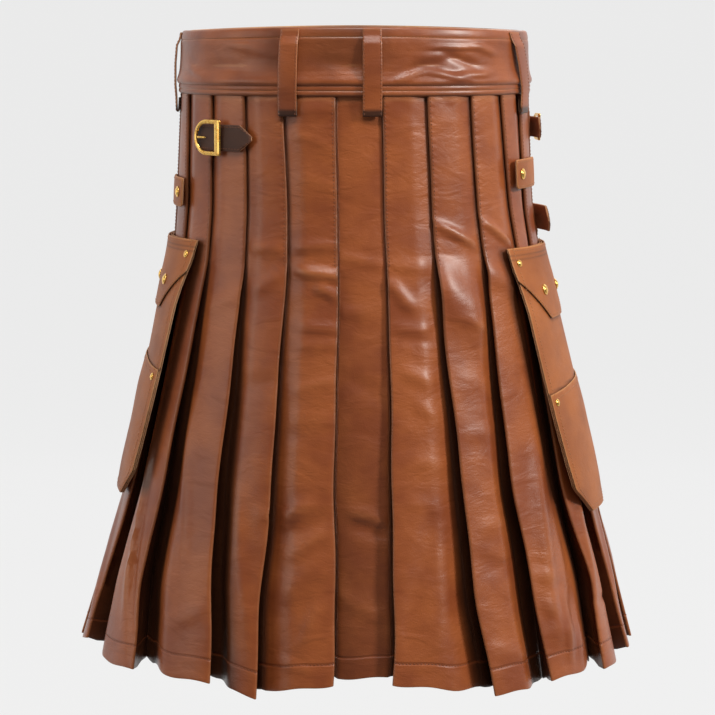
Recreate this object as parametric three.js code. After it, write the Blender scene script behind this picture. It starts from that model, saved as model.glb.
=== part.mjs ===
// Pleated leather kilt with a belt-looped waistband, hip straps and two hanging cargo pockets.
// Millimetres, +Z up, +X to the wearer's left, -Y to the front.
// The origin is the centre of the waist opening at half the height of the waistband.
import * as THREE from 'three';

// Driving sizes
const LEATHER = 1.4;            // thickness of the skirt, pocket and tab leather
const SEAM_GAP = 0.3;           // clearance between two pieces that are sewn or lie together
const BAND_TOP = 32;            // top edge of the waistband
const BAND_BOTTOM = -32;        // seam where the pleats hang from the waistband
const RELEASE = -190;           // height where the pleats are no longer stitched down
const HEM = -578;               // height of the hem before its own waves
const FOLD_PITCH = 1.8;         // middle to middle of two layers of a pressed fold
const FOLD_SLACK = 0.04;        // half the least distance between two points inside a fold
const BAND_THICKNESS = 2.8;     // two layers of leather

// Girth of the kilt: half width and half depth of the oval at each height
const GIRTH = [
  { z: 32, halfWidth: 166, halfDepth: 128 },
  { z: -32, halfWidth: 169, halfDepth: 131 },
  { z: -140, halfWidth: 174.2, halfDepth: 137.5 },
  { z: -190, halfWidth: 182, halfDepth: 144 },
  { z: -435, halfWidth: 233, halfDepth: 180 },
  { z: -506, halfWidth: 249.5, halfDepth: 191 },
  { z: -578, halfWidth: 267, halfDepth: 202 },
];

// The wearer's right side lies flatter than the oval: how far it is pressed in at each height,
// most at SIDE_PRESS.angle and not at all SIDE_PRESS.reach degrees away from there
const SIDE_PRESS = { angle: -98, reach: 50 };
const PRESS_ROWS = [
  { z: -578, press: 0 },
  { z: -506, press: 3 },
  { z: -435, press: 6.5 },
  { z: -362, press: 9 },
  { z: -295, press: 9 },
  { z: -240, press: 6 },
  { z: -208, press: 5.5 },
  { z: -190, press: 5 },
  { z: -140, press: 0 },
];

// Heights of the rings that the pleated wall runs through
const RINGS = [BAND_BOTTOM - SEAM_GAP, -140, RELEASE, -208, -240, -295, -362, -435, -506, HEM];

// Heights at which the tables below give the place of a pleat's edge
const EDGE_HEIGHTS = { waist: BAND_BOTTOM, release: RELEASE, middle: -400, low: -500, hem: HEM };

// One row for each pleat, from the centre front round to the centre back.
// waist to hem: angle of its folded edge in degrees; lift: how far the edge stands out at the hem;
// dip: how deep the panel has sunk under the next edge; drop, endDrop: how far the hem hangs
// below its height at the folded edge and at the far end of the panel.
const PLEATS_LEFT_OF_WEARER = [
  { waist: 9, release: 9.8, middle: 9.2, low: 8.5, hem: 7.6, lift: 5, dip: 9, drop: -5, endDrop: 8 },
  { waist: 24, release: 25.2, middle: 26.2, low: 26.8, hem: 28.4, lift: 12, dip: 12, drop: 9, endDrop: 10 },
  { waist: 40.8, release: 43, middle: 40.5, low: 41.8, hem: 43, lift: 10, dip: 12, drop: 4, endDrop: 1 },
  { waist: 55.5, release: 61, middle: 60, low: 63.5, hem: 61.5, lift: 11, dip: 12, drop: 8, endDrop: 5 },
  { waist: 69.8, release: 72.5, middle: 74.5, low: 77.5, hem: 77, lift: 10, dip: 11, drop: 0, endDrop: -2 },
  { waist: 86.9, release: 88, middle: 89, low: 90, hem: 91, lift: 12, dip: 11, drop: 0, endDrop: -2 },
  { waist: 105, release: 105.5, middle: 106, low: 106, hem: 107, lift: 12, dip: 12, drop: 2, endDrop: -1 },
  { waist: 122.5, release: 122.5, middle: 122, low: 123, hem: 123, lift: 10, dip: 12, drop: 3, endDrop: -2 },
  { waist: 139.5, release: 139.5, middle: 140.5, low: 140, hem: 141, lift: 11, dip: 12, drop: 4, endDrop: 0 },
  { waist: 156, release: 156, middle: 155.5, low: 156.5, hem: 157, lift: 10, dip: 11, drop: 3, endDrop: -2 },
  { waist: 172, release: 172, middle: 172, low: 171.5, hem: 171, lift: 8, dip: 0, drop: 2, endDrop: 2 },
];
const PLEATS_RIGHT_OF_WEARER = [
  { waist: 6.2, release: 5, middle: 4.8, low: 4.4, hem: 4.2, lift: 6, dip: 10, drop: -5, endDrop: 6 },
  { waist: 23.6, release: 20.4, middle: 20.2, low: 20.4, hem: 19.4, lift: 14, dip: 12, drop: 9, endDrop: 0 },
  { waist: 38, release: 34.8, middle: 34.4, low: 32, hem: 29.8, lift: 10, dip: 14, drop: -1, endDrop: -4 },
  { waist: 53.6, release: 50.6, middle: 52.2, low: 54.5, hem: 50, lift: 10, dip: 14, drop: -1, endDrop: -4 },
  { waist: 71.2, release: 67.5, middle: 71.5, low: 75, hem: 74, lift: 7, dip: 11, drop: -12, endDrop: -6 },
  { waist: 88, release: 86.5, middle: 88.5, low: 91, hem: 91, lift: 8, dip: 11, drop: -3, endDrop: -5 },
  { waist: 105.5, release: 105, middle: 106, low: 107.5, hem: 107, lift: 9, dip: 12, drop: 1, endDrop: -2 },
  { waist: 122.5, release: 122.5, middle: 123, low: 122.5, hem: 123, lift: 10, dip: 12, drop: 3, endDrop: -2 },
  { waist: 139.5, release: 139.5, middle: 139, low: 140, hem: 139, lift: 10, dip: 13, drop: 4, endDrop: -1 },
  { waist: 156, release: 156, middle: 156.5, low: 155.5, hem: 156, lift: 11, dip: 11, drop: 3, endDrop: -2 },
  { waist: 172, release: 172, middle: 171.5, low: 172, hem: 172, lift: 8, dip: 0, drop: 2, endDrop: 2 },
];
// The skirt is cut as six panels. Their seams lie inside the tucks of these pleats on each side.
const SEAM_PLEATS = [2, 5, 9];
// The set-back panel at the centre front: how far its sides sink, and how much of that its middle does
const CENTRE_PANEL = { angle: 1.6, sink: 8, middleShare: 0.75, crown: 1.4, drop: -8 };
const PANEL_BULGE = 3;           // how far a panel swells out between its edges at the hem
const FACE_STEPS = [0.16, 0.4, 0.62, 0.82];   // places across a panel, as shares of its width
const STEP_START = 0.55;         // share of a panel that stays flat before it sinks under the next
const TUCK_CLOSED = 0.5;         // depth of a tuck as a share of the next panel's width, at the waist
const TUCK_OPEN = 0.2;           // the same at the hem
const TUCK_CENTRE_BACK = 0.38;   // the same under the wide panel at the centre back
const TUCK_SINK = 7;             // how far inwards the inner fold of a tuck moves at the hem
const OPENING_POWER = 0.8;       // how soon the pleats spring open below their stitching

// Waistband: how far its middle line stands out from the girth at each height
const BAND_ROWS = [
  { z: BAND_BOTTOM, out: -0.1 },
  { z: -26, out: 0.7 },
  { z: -20, out: 0.9 },
  { z: 0, out: 1.5 },
  { z: 22, out: 0.9 },
  { z: BAND_TOP, out: -0.2 },
];
const BAND_DIP = 4.5;            // how much lower its top edge lies at the hips than in front
const BAND_STEP = 6;             // degrees between the columns of the waistband
const BAND_LAP = { frontEnd: 96, backStart: 84, sink: 3.1, ramp: 7 };   // the ends lap at the hips

// Belt loops: a strip with its lower end folded under, shown by height and distance out
const LOOP_WIDTH = 17.5;
const LOOP_THICKNESS = 1.6;
const LOOP_PATH = [
  { z: 30.5, out: 2.5 },
  { z: 24, out: 3.4 },
  { z: 17, out: 6.6 },
  { z: -2, out: 7.1 },
  { z: -24, out: 6.4 },
  { z: -36, out: 5.0 },
  { z: -48.5, out: 4.1 },
  { z: -49.7, out: 3.0 },
  { z: -48.5, out: 1.95 },
  { z: -37, out: 1.85 },
];
// angle: its place round the waist; lean: how far its top is turned from there
const LOOPS = [
  { name: 'belt_loop_front_left', angle: 5.6, lean: 0 },
  { name: 'belt_loop_front_right', angle: -21.2, lean: 0.4 },
  { name: 'belt_loop_side_left', angle: 70.5, lean: -6 },
  { name: 'belt_loop_side_right', angle: -88, lean: 0 },
  { name: 'belt_loop_back_left', angle: 128, lean: 0 },
  { name: 'belt_loop_back_centre', angle: 180, lean: 0 },
  { name: 'belt_loop_back_right', angle: 232, lean: 0 },
];

// Cargo pockets: flat envelopes that hang from their top edge and stand away from the pleats
const POCKET = {
  height: 260,
  hug: 0.15,                     // how much of the flattening its rear half has
  firstOut: 2.4,                 // middle of the back panel at the top edge
  fullness: 1.7,                 // slack between the front and the back panel
  layer: 1.75,                   // middle to middle of two panels that lie together
};
// The pocket's outline and shape at each distance down from its top edge: half its width, and how
// much of the flattening and of the fullness above it has there
const POCKET_OUTLINE = [
  { v: 0, half: 61, flat: 0, full: 0 },
  { v: 20, half: 62, flat: 0.28, full: 0.5 },
  { v: 40, half: 62, flat: 0.72, full: 1 },
  { v: 62, half: 62, flat: 1, full: 1 },
  { v: 125, half: 62, flat: 1, full: 1 },
  { v: 165, half: 61, flat: 1, full: 1 },
  { v: 205, half: 58, flat: 1, full: 1 },
  { v: 233, half: 54, flat: 1, full: 0.6 },
  { v: 260, half: 24, flat: 1, full: 0 },
];
const FLAP = { half: 64, side: 30, bottom: 70, chamferTo: 0.36, over: 0.5 };
const POUCH_TOP = { front: 140, back: 128 };
const POUCH_SLACK = { most: 1.4, within: 40 };
const RIVET = { radius: 3.6, height: 1.9 };
const SNAP = { radius: 5.4, height: 2.6 };
const SURFACE_STEP = 4;          // distance over which the slope under a cap is taken
// lean: share of its height that is vertical; swing: how much farther out its bottom edge hangs than
// its top; flatten: how much less it curves than the hip, at its front edge; raise: how much higher
// its pouch starts
const POCKETS = [
  { side: 'left', angle: 77, top: -178, facing: 1, lean: 0.99, swing: 8.5, flatten: 10, raise: 0 },
  { side: 'right', angle: -80, top: -170, facing: -1, lean: 0.96, swing: 6.5, flatten: 12, raise: 12 },
];

// Hip straps and tabs: a strip round the hip, from angle to angle at one height.
// rise and fall say how far its near and far ends stand out; tip is the length of its point.
const STRAP_THICKNESS = 2.4;
const STRAP_POINT = 0.16;        // height of a strap's point as a share of its height
const STRAPS = [
  { name: 'strap_right_front', z: -72, height: 25, from: -60, to: -33.5, rise: 2.4, fall: 3.6, tip: 13 },
  { name: 'strap_left_upper', z: -66, height: 20, from: 116, to: 85, rise: 2.4, fall: 11, tip: 4 },
  { name: 'strap_left_lower', z: -155, height: 25, from: 118, to: 82, rise: 2.4, fall: 15, tip: 11 },
];
const TABS = [
  { name: 'tab_left', z: -108, height: 28, from: 84, to: 59.5, rise: 2.4, fall: 7 },
  { name: 'tab_right', z: -126, height: 28, from: -92, to: -66, rise: 2.4, fall: 7 },
];
const TAB_SNAP_PLACE = 0.82;     // share of a tab's length at which its snap sits
const BUCKLE = { length: 37, height: 34, wire: 3.2, bar: 8.5, thickness: 2.6, arcSteps: 10 };
const BUCKLES = [
  { name: 'buckle_right', strap: 0, angle: -52.3, turn: 1, size: 1 },
  { name: 'buckle_left', strap: 1, angle: 97, turn: -1, size: 0.78 },
];
const PRONG = { length: 12, radius: 1.2, sides: 8 };

// Leather and metal colours
const FINISH = {
  tan: { color: 0x965532, roughness: 0.42, metalness: 0 },
  pocketTan: { color: 0xb07243, roughness: 0.5, metalness: 0 },
  darkStrap: { color: 0x46302a, roughness: 0.55, metalness: 0 },
  brass: { color: 0xcfa24a, roughness: 0.28, metalness: 1 },
};

const kilt = new THREE.Group();

const radians = THREE.MathUtils.degToRad;
const lerp = THREE.MathUtils.lerp;
const smooth = (x) => THREE.MathUtils.smoothstep(x, 0, 1);

// Value of one column of a table at a height or place, between its rows
function tableValue(rows, key, at, column) {
  const rising = rows[rows.length - 1][key] > rows[0][key];
  for (let i = 1; i < rows.length; i += 1) {
    const low = rows[i - 1];
    const high = rows[i];
    const inside = rising ? at <= high[key] : at >= high[key];
    if (inside || i === rows.length - 1) {
      const share = (at - low[key]) / (high[key] - low[key]);
      return lerp(low[column], high[column], Math.max(0, share));
    }
  }
  return rows[0][column];
}

const halfWidth = (z) => tableValue(GIRTH, 'z', z, 'halfWidth');
const halfDepth = (z) => tableValue(GIRTH, 'z', z, 'halfDepth');

// Length along the oval for one degree at an angle and height
function lengthPerDegree(angle, z) {
  const a = radians(angle);
  return radians(1) * Math.hypot(halfWidth(z) * Math.cos(a), halfDepth(z) * Math.sin(a));
}

// Outward direction of the oval at an angle and height
function outward(angle, z) {
  const a = radians(angle);
  return new THREE.Vector3(Math.sin(a) / halfWidth(z), -Math.cos(a) / halfDepth(z), 0).normalize();
}

// How far the side is pressed in at an angle and height
function sidePress(angle, z) {
  const away = Math.abs(angle - SIDE_PRESS.angle) / SIDE_PRESS.reach;
  const most = z > PRESS_ROWS[PRESS_ROWS.length - 1].z ? 0 : tableValue(PRESS_ROWS, 'z', z, 'press');
  return away < 1 ? most * Math.cos(away * Math.PI / 2) ** 2 : 0;
}

// A point at an angle round the hip, a height, and a distance out from the pressed oval
function onGirth(angle, z, out) {
  const a = radians(angle);
  const foot = new THREE.Vector3(halfWidth(z) * Math.sin(a), -halfDepth(z) * Math.cos(a), z);
  return foot.addScaledVector(outward(angle, z), out - sidePress(angle, z));
}

// Closed body between two grids of points that face each other; rows and columns match
function shellBetween(outer, inner) {
  const rows = outer.length;
  const columns = outer[0].length;
  const points = [...outer.flat(), ...inner.flat()];
  const at = (layer, r, c) => layer * rows * columns + r * columns + c;
  const index = [];
  const quad = (a, b, c, d) => index.push(a, b, c, a, c, d);
  for (let r = 0; r + 1 < rows; r += 1) {
    for (let c = 0; c + 1 < columns; c += 1) {
      quad(at(0, r, c), at(0, r + 1, c), at(0, r + 1, c + 1), at(0, r, c + 1));
      quad(at(1, r, c), at(1, r, c + 1), at(1, r + 1, c + 1), at(1, r + 1, c));
    }
    quad(at(0, r, 0), at(1, r, 0), at(1, r + 1, 0), at(0, r + 1, 0));
    const last = columns - 1;
    quad(at(0, r, last), at(0, r + 1, last), at(1, r + 1, last), at(1, r, last));
  }
  for (let c = 0; c + 1 < columns; c += 1) {
    const last = rows - 1;
    quad(at(0, 0, c), at(0, 0, c + 1), at(1, 0, c + 1), at(1, 0, c));
    quad(at(0, last, c), at(1, last, c), at(1, last, c + 1), at(0, last, c + 1));
  }
  if (signedVolume(points, index) < 0) {
    index.reverse();
  }
  const geometry = new THREE.BufferGeometry().setFromPoints(points);
  geometry.setIndex(index);
  geometry.computeVertexNormals();
  return geometry;
}

// Volume inside a triangle list, negative where its faces point inwards
function signedVolume(points, index) {
  let sum = 0;
  const cross = new THREE.Vector3();
  for (let i = 0; i < index.length; i += 3) {
    cross.crossVectors(points[index[i + 1]], points[index[i + 2]]);
    sum += points[index[i]].dot(cross);
  }
  return sum / 6;
}

// Closed wall of one thickness on a grid of middle points, thickened along its own normals
function sheetBody(grid, thickness) {
  const rows = grid.length;
  const columns = grid[0].length;
  const offset = (sign) => grid.map((row, r) => row.map((point, c) => {
    const up = grid[Math.min(r + 1, rows - 1)][c].clone().sub(grid[Math.max(r - 1, 0)][c]);
    const across = row[Math.min(c + 1, columns - 1)].clone().sub(row[Math.max(c - 1, 0)]);
    const normal = across.cross(up).normalize();
    return point.clone().addScaledVector(normal, sign * thickness / 2);
  }));
  return shellBetween(offset(1), offset(-1));
}

// A flat line of points in one ring, offset to one side, with its corners mitred.
// Inside a tight fold the mitres would pass each other, so there they are kept just apart.
function offsetLine(line, distance) {
  const along = (a, b) => new THREE.Vector2(b.x - a.x, b.y - a.y).normalize();
  const moved = line.map((point, i) => {
    const before = i > 0 ? along(line[i - 1], point) : along(point, line[i + 1]);
    const after = i + 1 < line.length ? along(point, line[i + 1]) : before;
    const sum = before.clone().add(after).normalize();
    const stretch = 1 / Math.max(0.5, sum.dot(before));
    const shift = distance * stretch;
    return new THREE.Vector3(point.x + sum.y * shift, point.y - sum.x * shift, point.z);
  });
  for (let i = 0; i + 1 < line.length; i += 1) {
    const way = along(line[i], line[i + 1]);
    const step = (moved[i + 1].x - moved[i].x) * way.x + (moved[i + 1].y - moved[i].y) * way.y;
    if (step < 2 * FOLD_SLACK) {
      const x = (moved[i].x + moved[i + 1].x) / 2;
      const y = (moved[i].y + moved[i + 1].y) / 2;
      moved[i].set(x - way.x * FOLD_SLACK, y - way.y * FOLD_SLACK, moved[i].z);
      moved[i + 1].set(x + way.x * FOLD_SLACK, y + way.y * FOLD_SLACK, moved[i + 1].z);
    }
  }
  return moved;
}

function addPiece(name, geometry, finish) {
  const material = new THREE.MeshStandardMaterial(FINISH[finish]);
  const mesh = new THREE.Mesh(geometry, material);
  mesh.name = name;
  kilt.add(mesh);
  return mesh;
}

// How far the pleats have sprung open at a height, from 0 where they are stitched to 1 at the hem
function openness(z) {
  const share = (RELEASE - z) / (RELEASE - HEM);
  return share <= 0 ? 0 : Math.min(1, share) ** OPENING_POWER;
}

// Angle of a pleat's folded edge at a height
function edgeAngle(pleat, z) {
  const rows = Object.keys(EDGE_HEIGHTS).map((key) => ({ z: EDGE_HEIGHTS[key], angle: pleat[key] }));
  return tableValue(rows, 'z', z, 'angle');
}

// Distance out of a panel's face at a share of its width
function faceOut(pleat, share, open) {
  const lift = pleat.lift * (1 - share) ** 1.5;
  const bulge = PANEL_BULGE * Math.sin(Math.PI * share ** 0.8);
  const sink = smooth((share - STEP_START) / (1 - STEP_START));
  return open * (lift + bulge) - sink * (2 * FOLD_PITCH + open * pleat.dip);
}

// One ring of a half skirt, as a line of points from the centre front out to the centre back.
// direction is 1 or -1. seams holds the index of the first point after each seam.
function halfRing(pleats, direction, z) {
  const open = openness(z);
  const atHem = z === HEM ? 1 : 0;
  const line = [];
  const seams = [];
  const put = (angle, out, drop) => {
    line.push(onGirth(direction * angle, z, out).setZ(z - atHem * drop));
  };
  let sunk = -2 * FOLD_PITCH - open * CENTRE_PANEL.sink;
  let sunkDrop = CENTRE_PANEL.drop;
  pleats.forEach((pleat, k) => {
    const edge = edgeAngle(pleat, z);
    const isLast = k === pleats.length - 1;
    const nextEdge = isLast ? 360 - edge : edgeAngle(pleats[k + 1], z);
    const width = nextEdge - edge;
    const oneMm = 1 / lengthPerDegree(edge, z);
    const closed = isLast ? TUCK_CENTRE_BACK : TUCK_CLOSED;
    const tuck = width * lerp(closed, TUCK_OPEN, open);
    const deep = sunk - open * TUCK_SINK;
    const top = open * pleat.lift;
    put(edge, sunk, sunkDrop);
    put(edge + tuck, deep, sunkDrop);
    if (SEAM_PLEATS.includes(k)) {
      seams.push(line.length);
    } else {
      put(edge + tuck + oneMm * FOLD_PITCH / 2, deep + FOLD_PITCH / 2, sunkDrop);
    }
    put(edge + tuck, deep + FOLD_PITCH, sunkDrop);
    put(edge + oneMm * FOLD_PITCH / 2, top - FOLD_PITCH, pleat.drop);
    put(edge, top - FOLD_PITCH / 2, pleat.drop);
    put(edge + oneMm * FOLD_PITCH / 2, top, pleat.drop);
    const steps = isLast ? [0.25, 0.5] : FACE_STEPS;
    steps.forEach((share) => {
      const out = isLast ? top + open * PANEL_BULGE * share : faceOut(pleat, share, open);
      put(edge + width * share, out, lerp(pleat.drop, pleat.endDrop, share));
    });
    sunk = faceOut(pleat, 1, open);
    sunkDrop = pleat.endDrop;
  });
  return { line, seams };
}

// The pleated skirt: a front, a back and two panels at each hip, sewn together inside their pleats
function addSkirt() {
  const panels = {
    skirt_front: [], skirt_front_left: [], skirt_back_left: [],
    skirt_back: [], skirt_back_right: [], skirt_front_right: [],
  };
  RINGS.forEach((z) => {
    const left = halfRing(PLEATS_LEFT_OF_WEARER, 1, z);
    const right = halfRing(PLEATS_RIGHT_OF_WEARER, -1, z);
    const open = openness(z);
    const middle = CENTRE_PANEL.crown - 2 * FOLD_PITCH - open * CENTRE_PANEL.sink * CENTRE_PANEL.middleShare;
    const drop = z === HEM ? CENTRE_PANEL.drop : 0;
    const centre = onGirth(CENTRE_PANEL.angle, z, middle).setZ(z - drop);
    const [toLeft, toRight] = [left, right].map(({ line, seams }) => (from, to) => line.slice(
      from < 0 ? 0 : seams[from], to === undefined ? undefined : seams[to],
    ));
    panels.skirt_front.push([...toRight(-1, 0).reverse(), centre, ...toLeft(-1, 0)]);
    panels.skirt_front_left.push(toLeft(0, 1));
    panels.skirt_back_left.push(toLeft(1, 2));
    panels.skirt_back.push([...toLeft(2), ...toRight(2).slice(0, -1).reverse()]);
    panels.skirt_back_right.push(toRight(1, 2).reverse());
    panels.skirt_front_right.push(toRight(0, 1).reverse());
  });
  Object.entries(panels).forEach(([name, rings]) => addPiece(name, shellBetween(
    rings.map((ring) => offsetLine(ring, LEATHER / 2)),
    rings.map((ring) => offsetLine(ring, -LEATHER / 2)),
  ), 'tan'));
}

// How much lower the waistband lies at an angle and height than the same height in front
function bandDip(angle, z) {
  const share = Math.max(0, z - BAND_BOTTOM) / (BAND_TOP - BAND_BOTTOM);
  return BAND_DIP * Math.sin(radians(angle)) ** 2 * share;
}

// One length of the waistband; outAt gives an extra distance out at each angle
function bandLength(from, to, outAt) {
  const columns = Math.round((to - from) / BAND_STEP);
  const grid = BAND_ROWS.map((row) => {
    const line = [];
    for (let c = 0; c <= columns; c += 1) {
      const angle = lerp(from, to, c / columns);
      line.push(onGirth(angle, row.z - bandDip(angle, row.z), row.out + outAt(angle)));
    }
    return line;
  });
  return sheetBody(grid, BAND_THICKNESS);
}

function addWaistband() {
  const { frontEnd, backStart, sink, ramp } = BAND_LAP;
  addPiece('waistband_front', bandLength(-frontEnd, frontEnd, () => 0), 'tan');
  const backSink = (angle) => {
    const fromEnd = Math.min(angle - backStart, 360 - backStart - angle);
    const lapped = frontEnd - backStart + 2;
    return -sink * (1 - smooth((fromEnd - lapped) / ramp));
  };
  addPiece('waistband_back', bandLength(backStart, 360 - backStart, backSink), 'tan');
}

function addBeltLoops() {
  LOOPS.forEach(({ name, angle, lean }) => {
    const reach = LOOP_WIDTH / 2 / lengthPerDegree(angle, 0);
    const grid = LOOP_PATH.map(({ z, out }) => {
      const turn = lean * Math.max(0, z - BAND_BOTTOM) / (BAND_TOP - BAND_BOTTOM);
      const height = z - bandDip(angle, z);
      return [-1, 0, 1].map((side) => onGirth(angle + turn + side * reach, height, out));
    });
    addPiece(name, sheetBody(grid, LOOP_THICKNESS), 'tan');
  });
}

// A point of a pocket: u across towards the back of the hip, v down from its top edge
function onPocket(pocket, u, v, layerOut) {
  const z = pocket.top - v * pocket.lean;
  const angle = pocket.angle + pocket.facing * u / lengthPerDegree(pocket.angle, z);
  const bend = pocket.flatten * (u > 0 ? POCKET.hug : 1) * (u / FLAP.half) ** 2;
  const flat = bend * tableValue(POCKET_OUTLINE, 'v', v, 'flat');
  const out = POCKET.firstOut + pocket.swing * v / POCKET.height + flat + layerOut;
  return onGirth(angle, z, out);
}

// How far the front panel of a pocket stands out from the back panel
function pocketFullness(u, v) {
  const half = tableValue(POCKET_OUTLINE, 'v', v, 'half');
  const across = Math.max(0, 1 - (u / half) ** 4);
  return POCKET.layer + POCKET.fullness * across * tableValue(POCKET_OUTLINE, 'v', v, 'full');
}

const ACROSS = [-1, -0.82, -0.6, -0.36, -0.12, 0.12, 0.36, 0.6, 0.82, 1];

// A panel with the pocket's outline, from one distance down to another
function pocketPanel(pocket, downs, layerOut) {
  const grid = downs.map((down) => ACROSS.map((across) => {
    const v = typeof down === 'function' ? down(across) : down;
    const u = across * tableValue(POCKET_OUTLINE, 'v', v, 'half');
    return onPocket(pocket, u, v, layerOut(u, v));
  }));
  return sheetBody(grid, LEATHER);
}

// A round cap on a panel: a domed lathe turned to the panel's own outward direction
function addCap(name, size, foot, outwards) {
  const { radius, height } = size;
  const profile = [
    new THREE.Vector2(0, 0),
    new THREE.Vector2(radius, 0),
    new THREE.Vector2(radius, height * 0.35),
    new THREE.Vector2(radius * 0.72, height * 0.8),
    new THREE.Vector2(0, height),
  ];
  const cap = addPiece(name, new THREE.LatheGeometry(profile, 12), 'brass');
  cap.position.copy(foot);
  cap.quaternion.setFromUnitVectors(new THREE.Vector3(0, 1, 0), outwards);
}

// The outward direction of a surface given by a function of two lengths
function surfaceOutward(point, u, v, step) {
  const across = point(u + step, v).sub(point(u - step, v));
  const down = point(u, v + step).sub(point(u, v - step));
  const normal = across.cross(down).normalize();
  const middle = point(u, v);
  return normal.dot(new THREE.Vector3(middle.x, middle.y, 0)) < 0 ? normal.negate() : normal;
}

function addPocket(pocket) {
  const { side } = pocket;
  const downs = POCKET_OUTLINE.map((row) => row.v);
  addPiece(`pocket_back_${side}`, pocketPanel(pocket, downs, () => 0), 'pocketTan');
  addPiece(`pocket_front_${side}`, pocketPanel(pocket, downs, pocketFullness), 'pocketTan');

  const pouchOut = (u, v) => {
    const slack = (pocketFullness(u, v) - POCKET.layer) / POCKET.fullness;
    const below = smooth((v - POUCH_TOP.back + pocket.raise) / POUCH_SLACK.within);
    return pocketFullness(u, v) + POCKET.layer + POUCH_SLACK.most * slack * below;
  };
  const pouchTop = (across) => lerp(POUCH_TOP.front, POUCH_TOP.back, (across + 1) / 2) - pocket.raise;
  const pouchDowns = [pouchTop, 165, 205, 233, POCKET.height - 0.5];
  addPiece(`pocket_pouch_${side}`, pocketPanel(pocket, pouchDowns, pouchOut), 'pocketTan');

  const flapOut = (u, v) => pocketFullness(u, v) + POCKET.layer + FLAP.over;
  const flapBottom = (across) => {
    const chamfer = Math.max(0, Math.abs(across) - FLAP.chamferTo) / (1 - FLAP.chamferTo);
    return lerp(FLAP.bottom, FLAP.side, chamfer);
  };
  const flapStart = FLAP.side - 3;
  const flapMiddle = (across) => lerp(flapStart, flapBottom(across), 0.45);
  const flapGrid = [0, 20, flapStart, flapMiddle, flapBottom].map((down) => ACROSS.map((across) => {
    const v = typeof down === 'function' ? down(across) : down;
    const u = across * FLAP.half;
    return onPocket(pocket, u, v, flapOut(u, v));
  }));
  addPiece(`pocket_flap_${side}`, sheetBody(flapGrid, LEATHER), 'pocketTan');

  const place = (name, size, u, v, layerOut) => {
    const surface = (a, b) => onPocket(pocket, a, b, layerOut(a, b));
    const outwards = surfaceOutward(surface, u, v, SURFACE_STEP);
    const foot = surface(u, v).addScaledVector(outwards, LEATHER / 2 + SEAM_GAP);
    addCap(name, size, foot, outwards);
  };
  place(`flap_rivet_front_${side}`, RIVET, -55, 14, flapOut);
  place(`flap_rivet_back_${side}`, RIVET, 55, 14, flapOut);
  place(`flap_snap_front_${side}`, SNAP, -25, 42, flapOut);
  place(`flap_snap_back_${side}`, SNAP, 25, 42, flapOut);
  place(`pouch_rivet_front_${side}`, RIVET, -54, POUCH_TOP.front - pocket.raise + 8, pouchOut);
  place(`pouch_rivet_back_${side}`, RIVET, 54, POUCH_TOP.back - pocket.raise + 8, pouchOut);
}

// Distance out of a strap's middle line at a share of its length
function strapOut(strap, share) {
  return lerp(strap.rise, strap.fall, smooth(share) * share);
}

// Foot of a flat piece that lies on a strap: just clear of the strap's outer face under all of it
function seatOnStrap(strap, angle, reach) {
  const outwards = outward(angle, strap.z);
  const spread = reach / lengthPerDegree(angle, strap.z);
  let highest = -Infinity;
  for (let i = -4; i <= 4; i += 1) {
    const at = angle + spread * i / 4;
    const share = THREE.MathUtils.clamp((at - strap.from) / (strap.to - strap.from), 0, 1);
    [-1, 1].forEach((row) => {
      const out = strapOut(strap, share) + STRAP_THICKNESS / 2;
      const point = onGirth(at, strap.z + row * strap.height / 2, out);
      highest = Math.max(highest, point.dot(outwards));
    });
  }
  const foot = onGirth(angle, strap.z, 0);
  return foot.addScaledVector(outwards, highest + SEAM_GAP - foot.dot(outwards));
}

// A strip round the hip with a point at its far end
function addStrap(strap, finish) {
  const tip = strap.tip ?? 0;
  const length = Math.abs(strap.to - strap.from) * lengthPerDegree((strap.from + strap.to) / 2, strap.z);
  const shares = [0, 0.2, 0.4, 0.6, 0.8, 1 - tip / length, 1];
  const grid = shares.map((share) => {
    const pointed = share === 1 && tip > 0;
    const half = strap.height / 2 * (pointed ? STRAP_POINT : 1);
    const angle = lerp(strap.from, strap.to, share);
    return [-1, 0, 1].map((row) => onGirth(angle, strap.z + row * half, strapOut(strap, share)));
  });
  const rows = tip > 0 ? grid : grid.filter((_, i) => i !== shares.length - 2);
  addPiece(strap.name, sheetBody(rows, STRAP_THICKNESS), finish);
}

// A D-shaped outline: straight on the +X side at end, a half circle on the other
function dOutline(end, centre, half) {
  const points = [new THREE.Vector2(end, half)];
  for (let i = 0; i <= BUCKLE.arcSteps; i += 1) {
    const a = Math.PI * (0.5 + i / BUCKLE.arcSteps);
    points.push(new THREE.Vector2(centre + half * Math.cos(a), half * Math.sin(a)));
  }
  points.push(new THREE.Vector2(end, -half));
  return points;
}

// Face of the buckle, with its wide straight bar on the +X side
function buckleShape() {
  const { length, height, wire, bar } = BUCKLE;
  const radius = height / 2;
  const centre = -length / 2 + radius;
  const shape = new THREE.Shape(dOutline(length / 2, centre, radius));
  shape.holes.push(new THREE.Path(dOutline(length / 2 - bar, centre, radius - wire)));
  return shape;
}

// Points of a small round section
function roundSection(radius, sides) {
  return Array.from({ length: sides }, (_, i) => {
    const a = 2 * Math.PI * i / sides;
    return new THREE.Vector2(radius * Math.cos(a), radius * Math.sin(a));
  });
}

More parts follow.
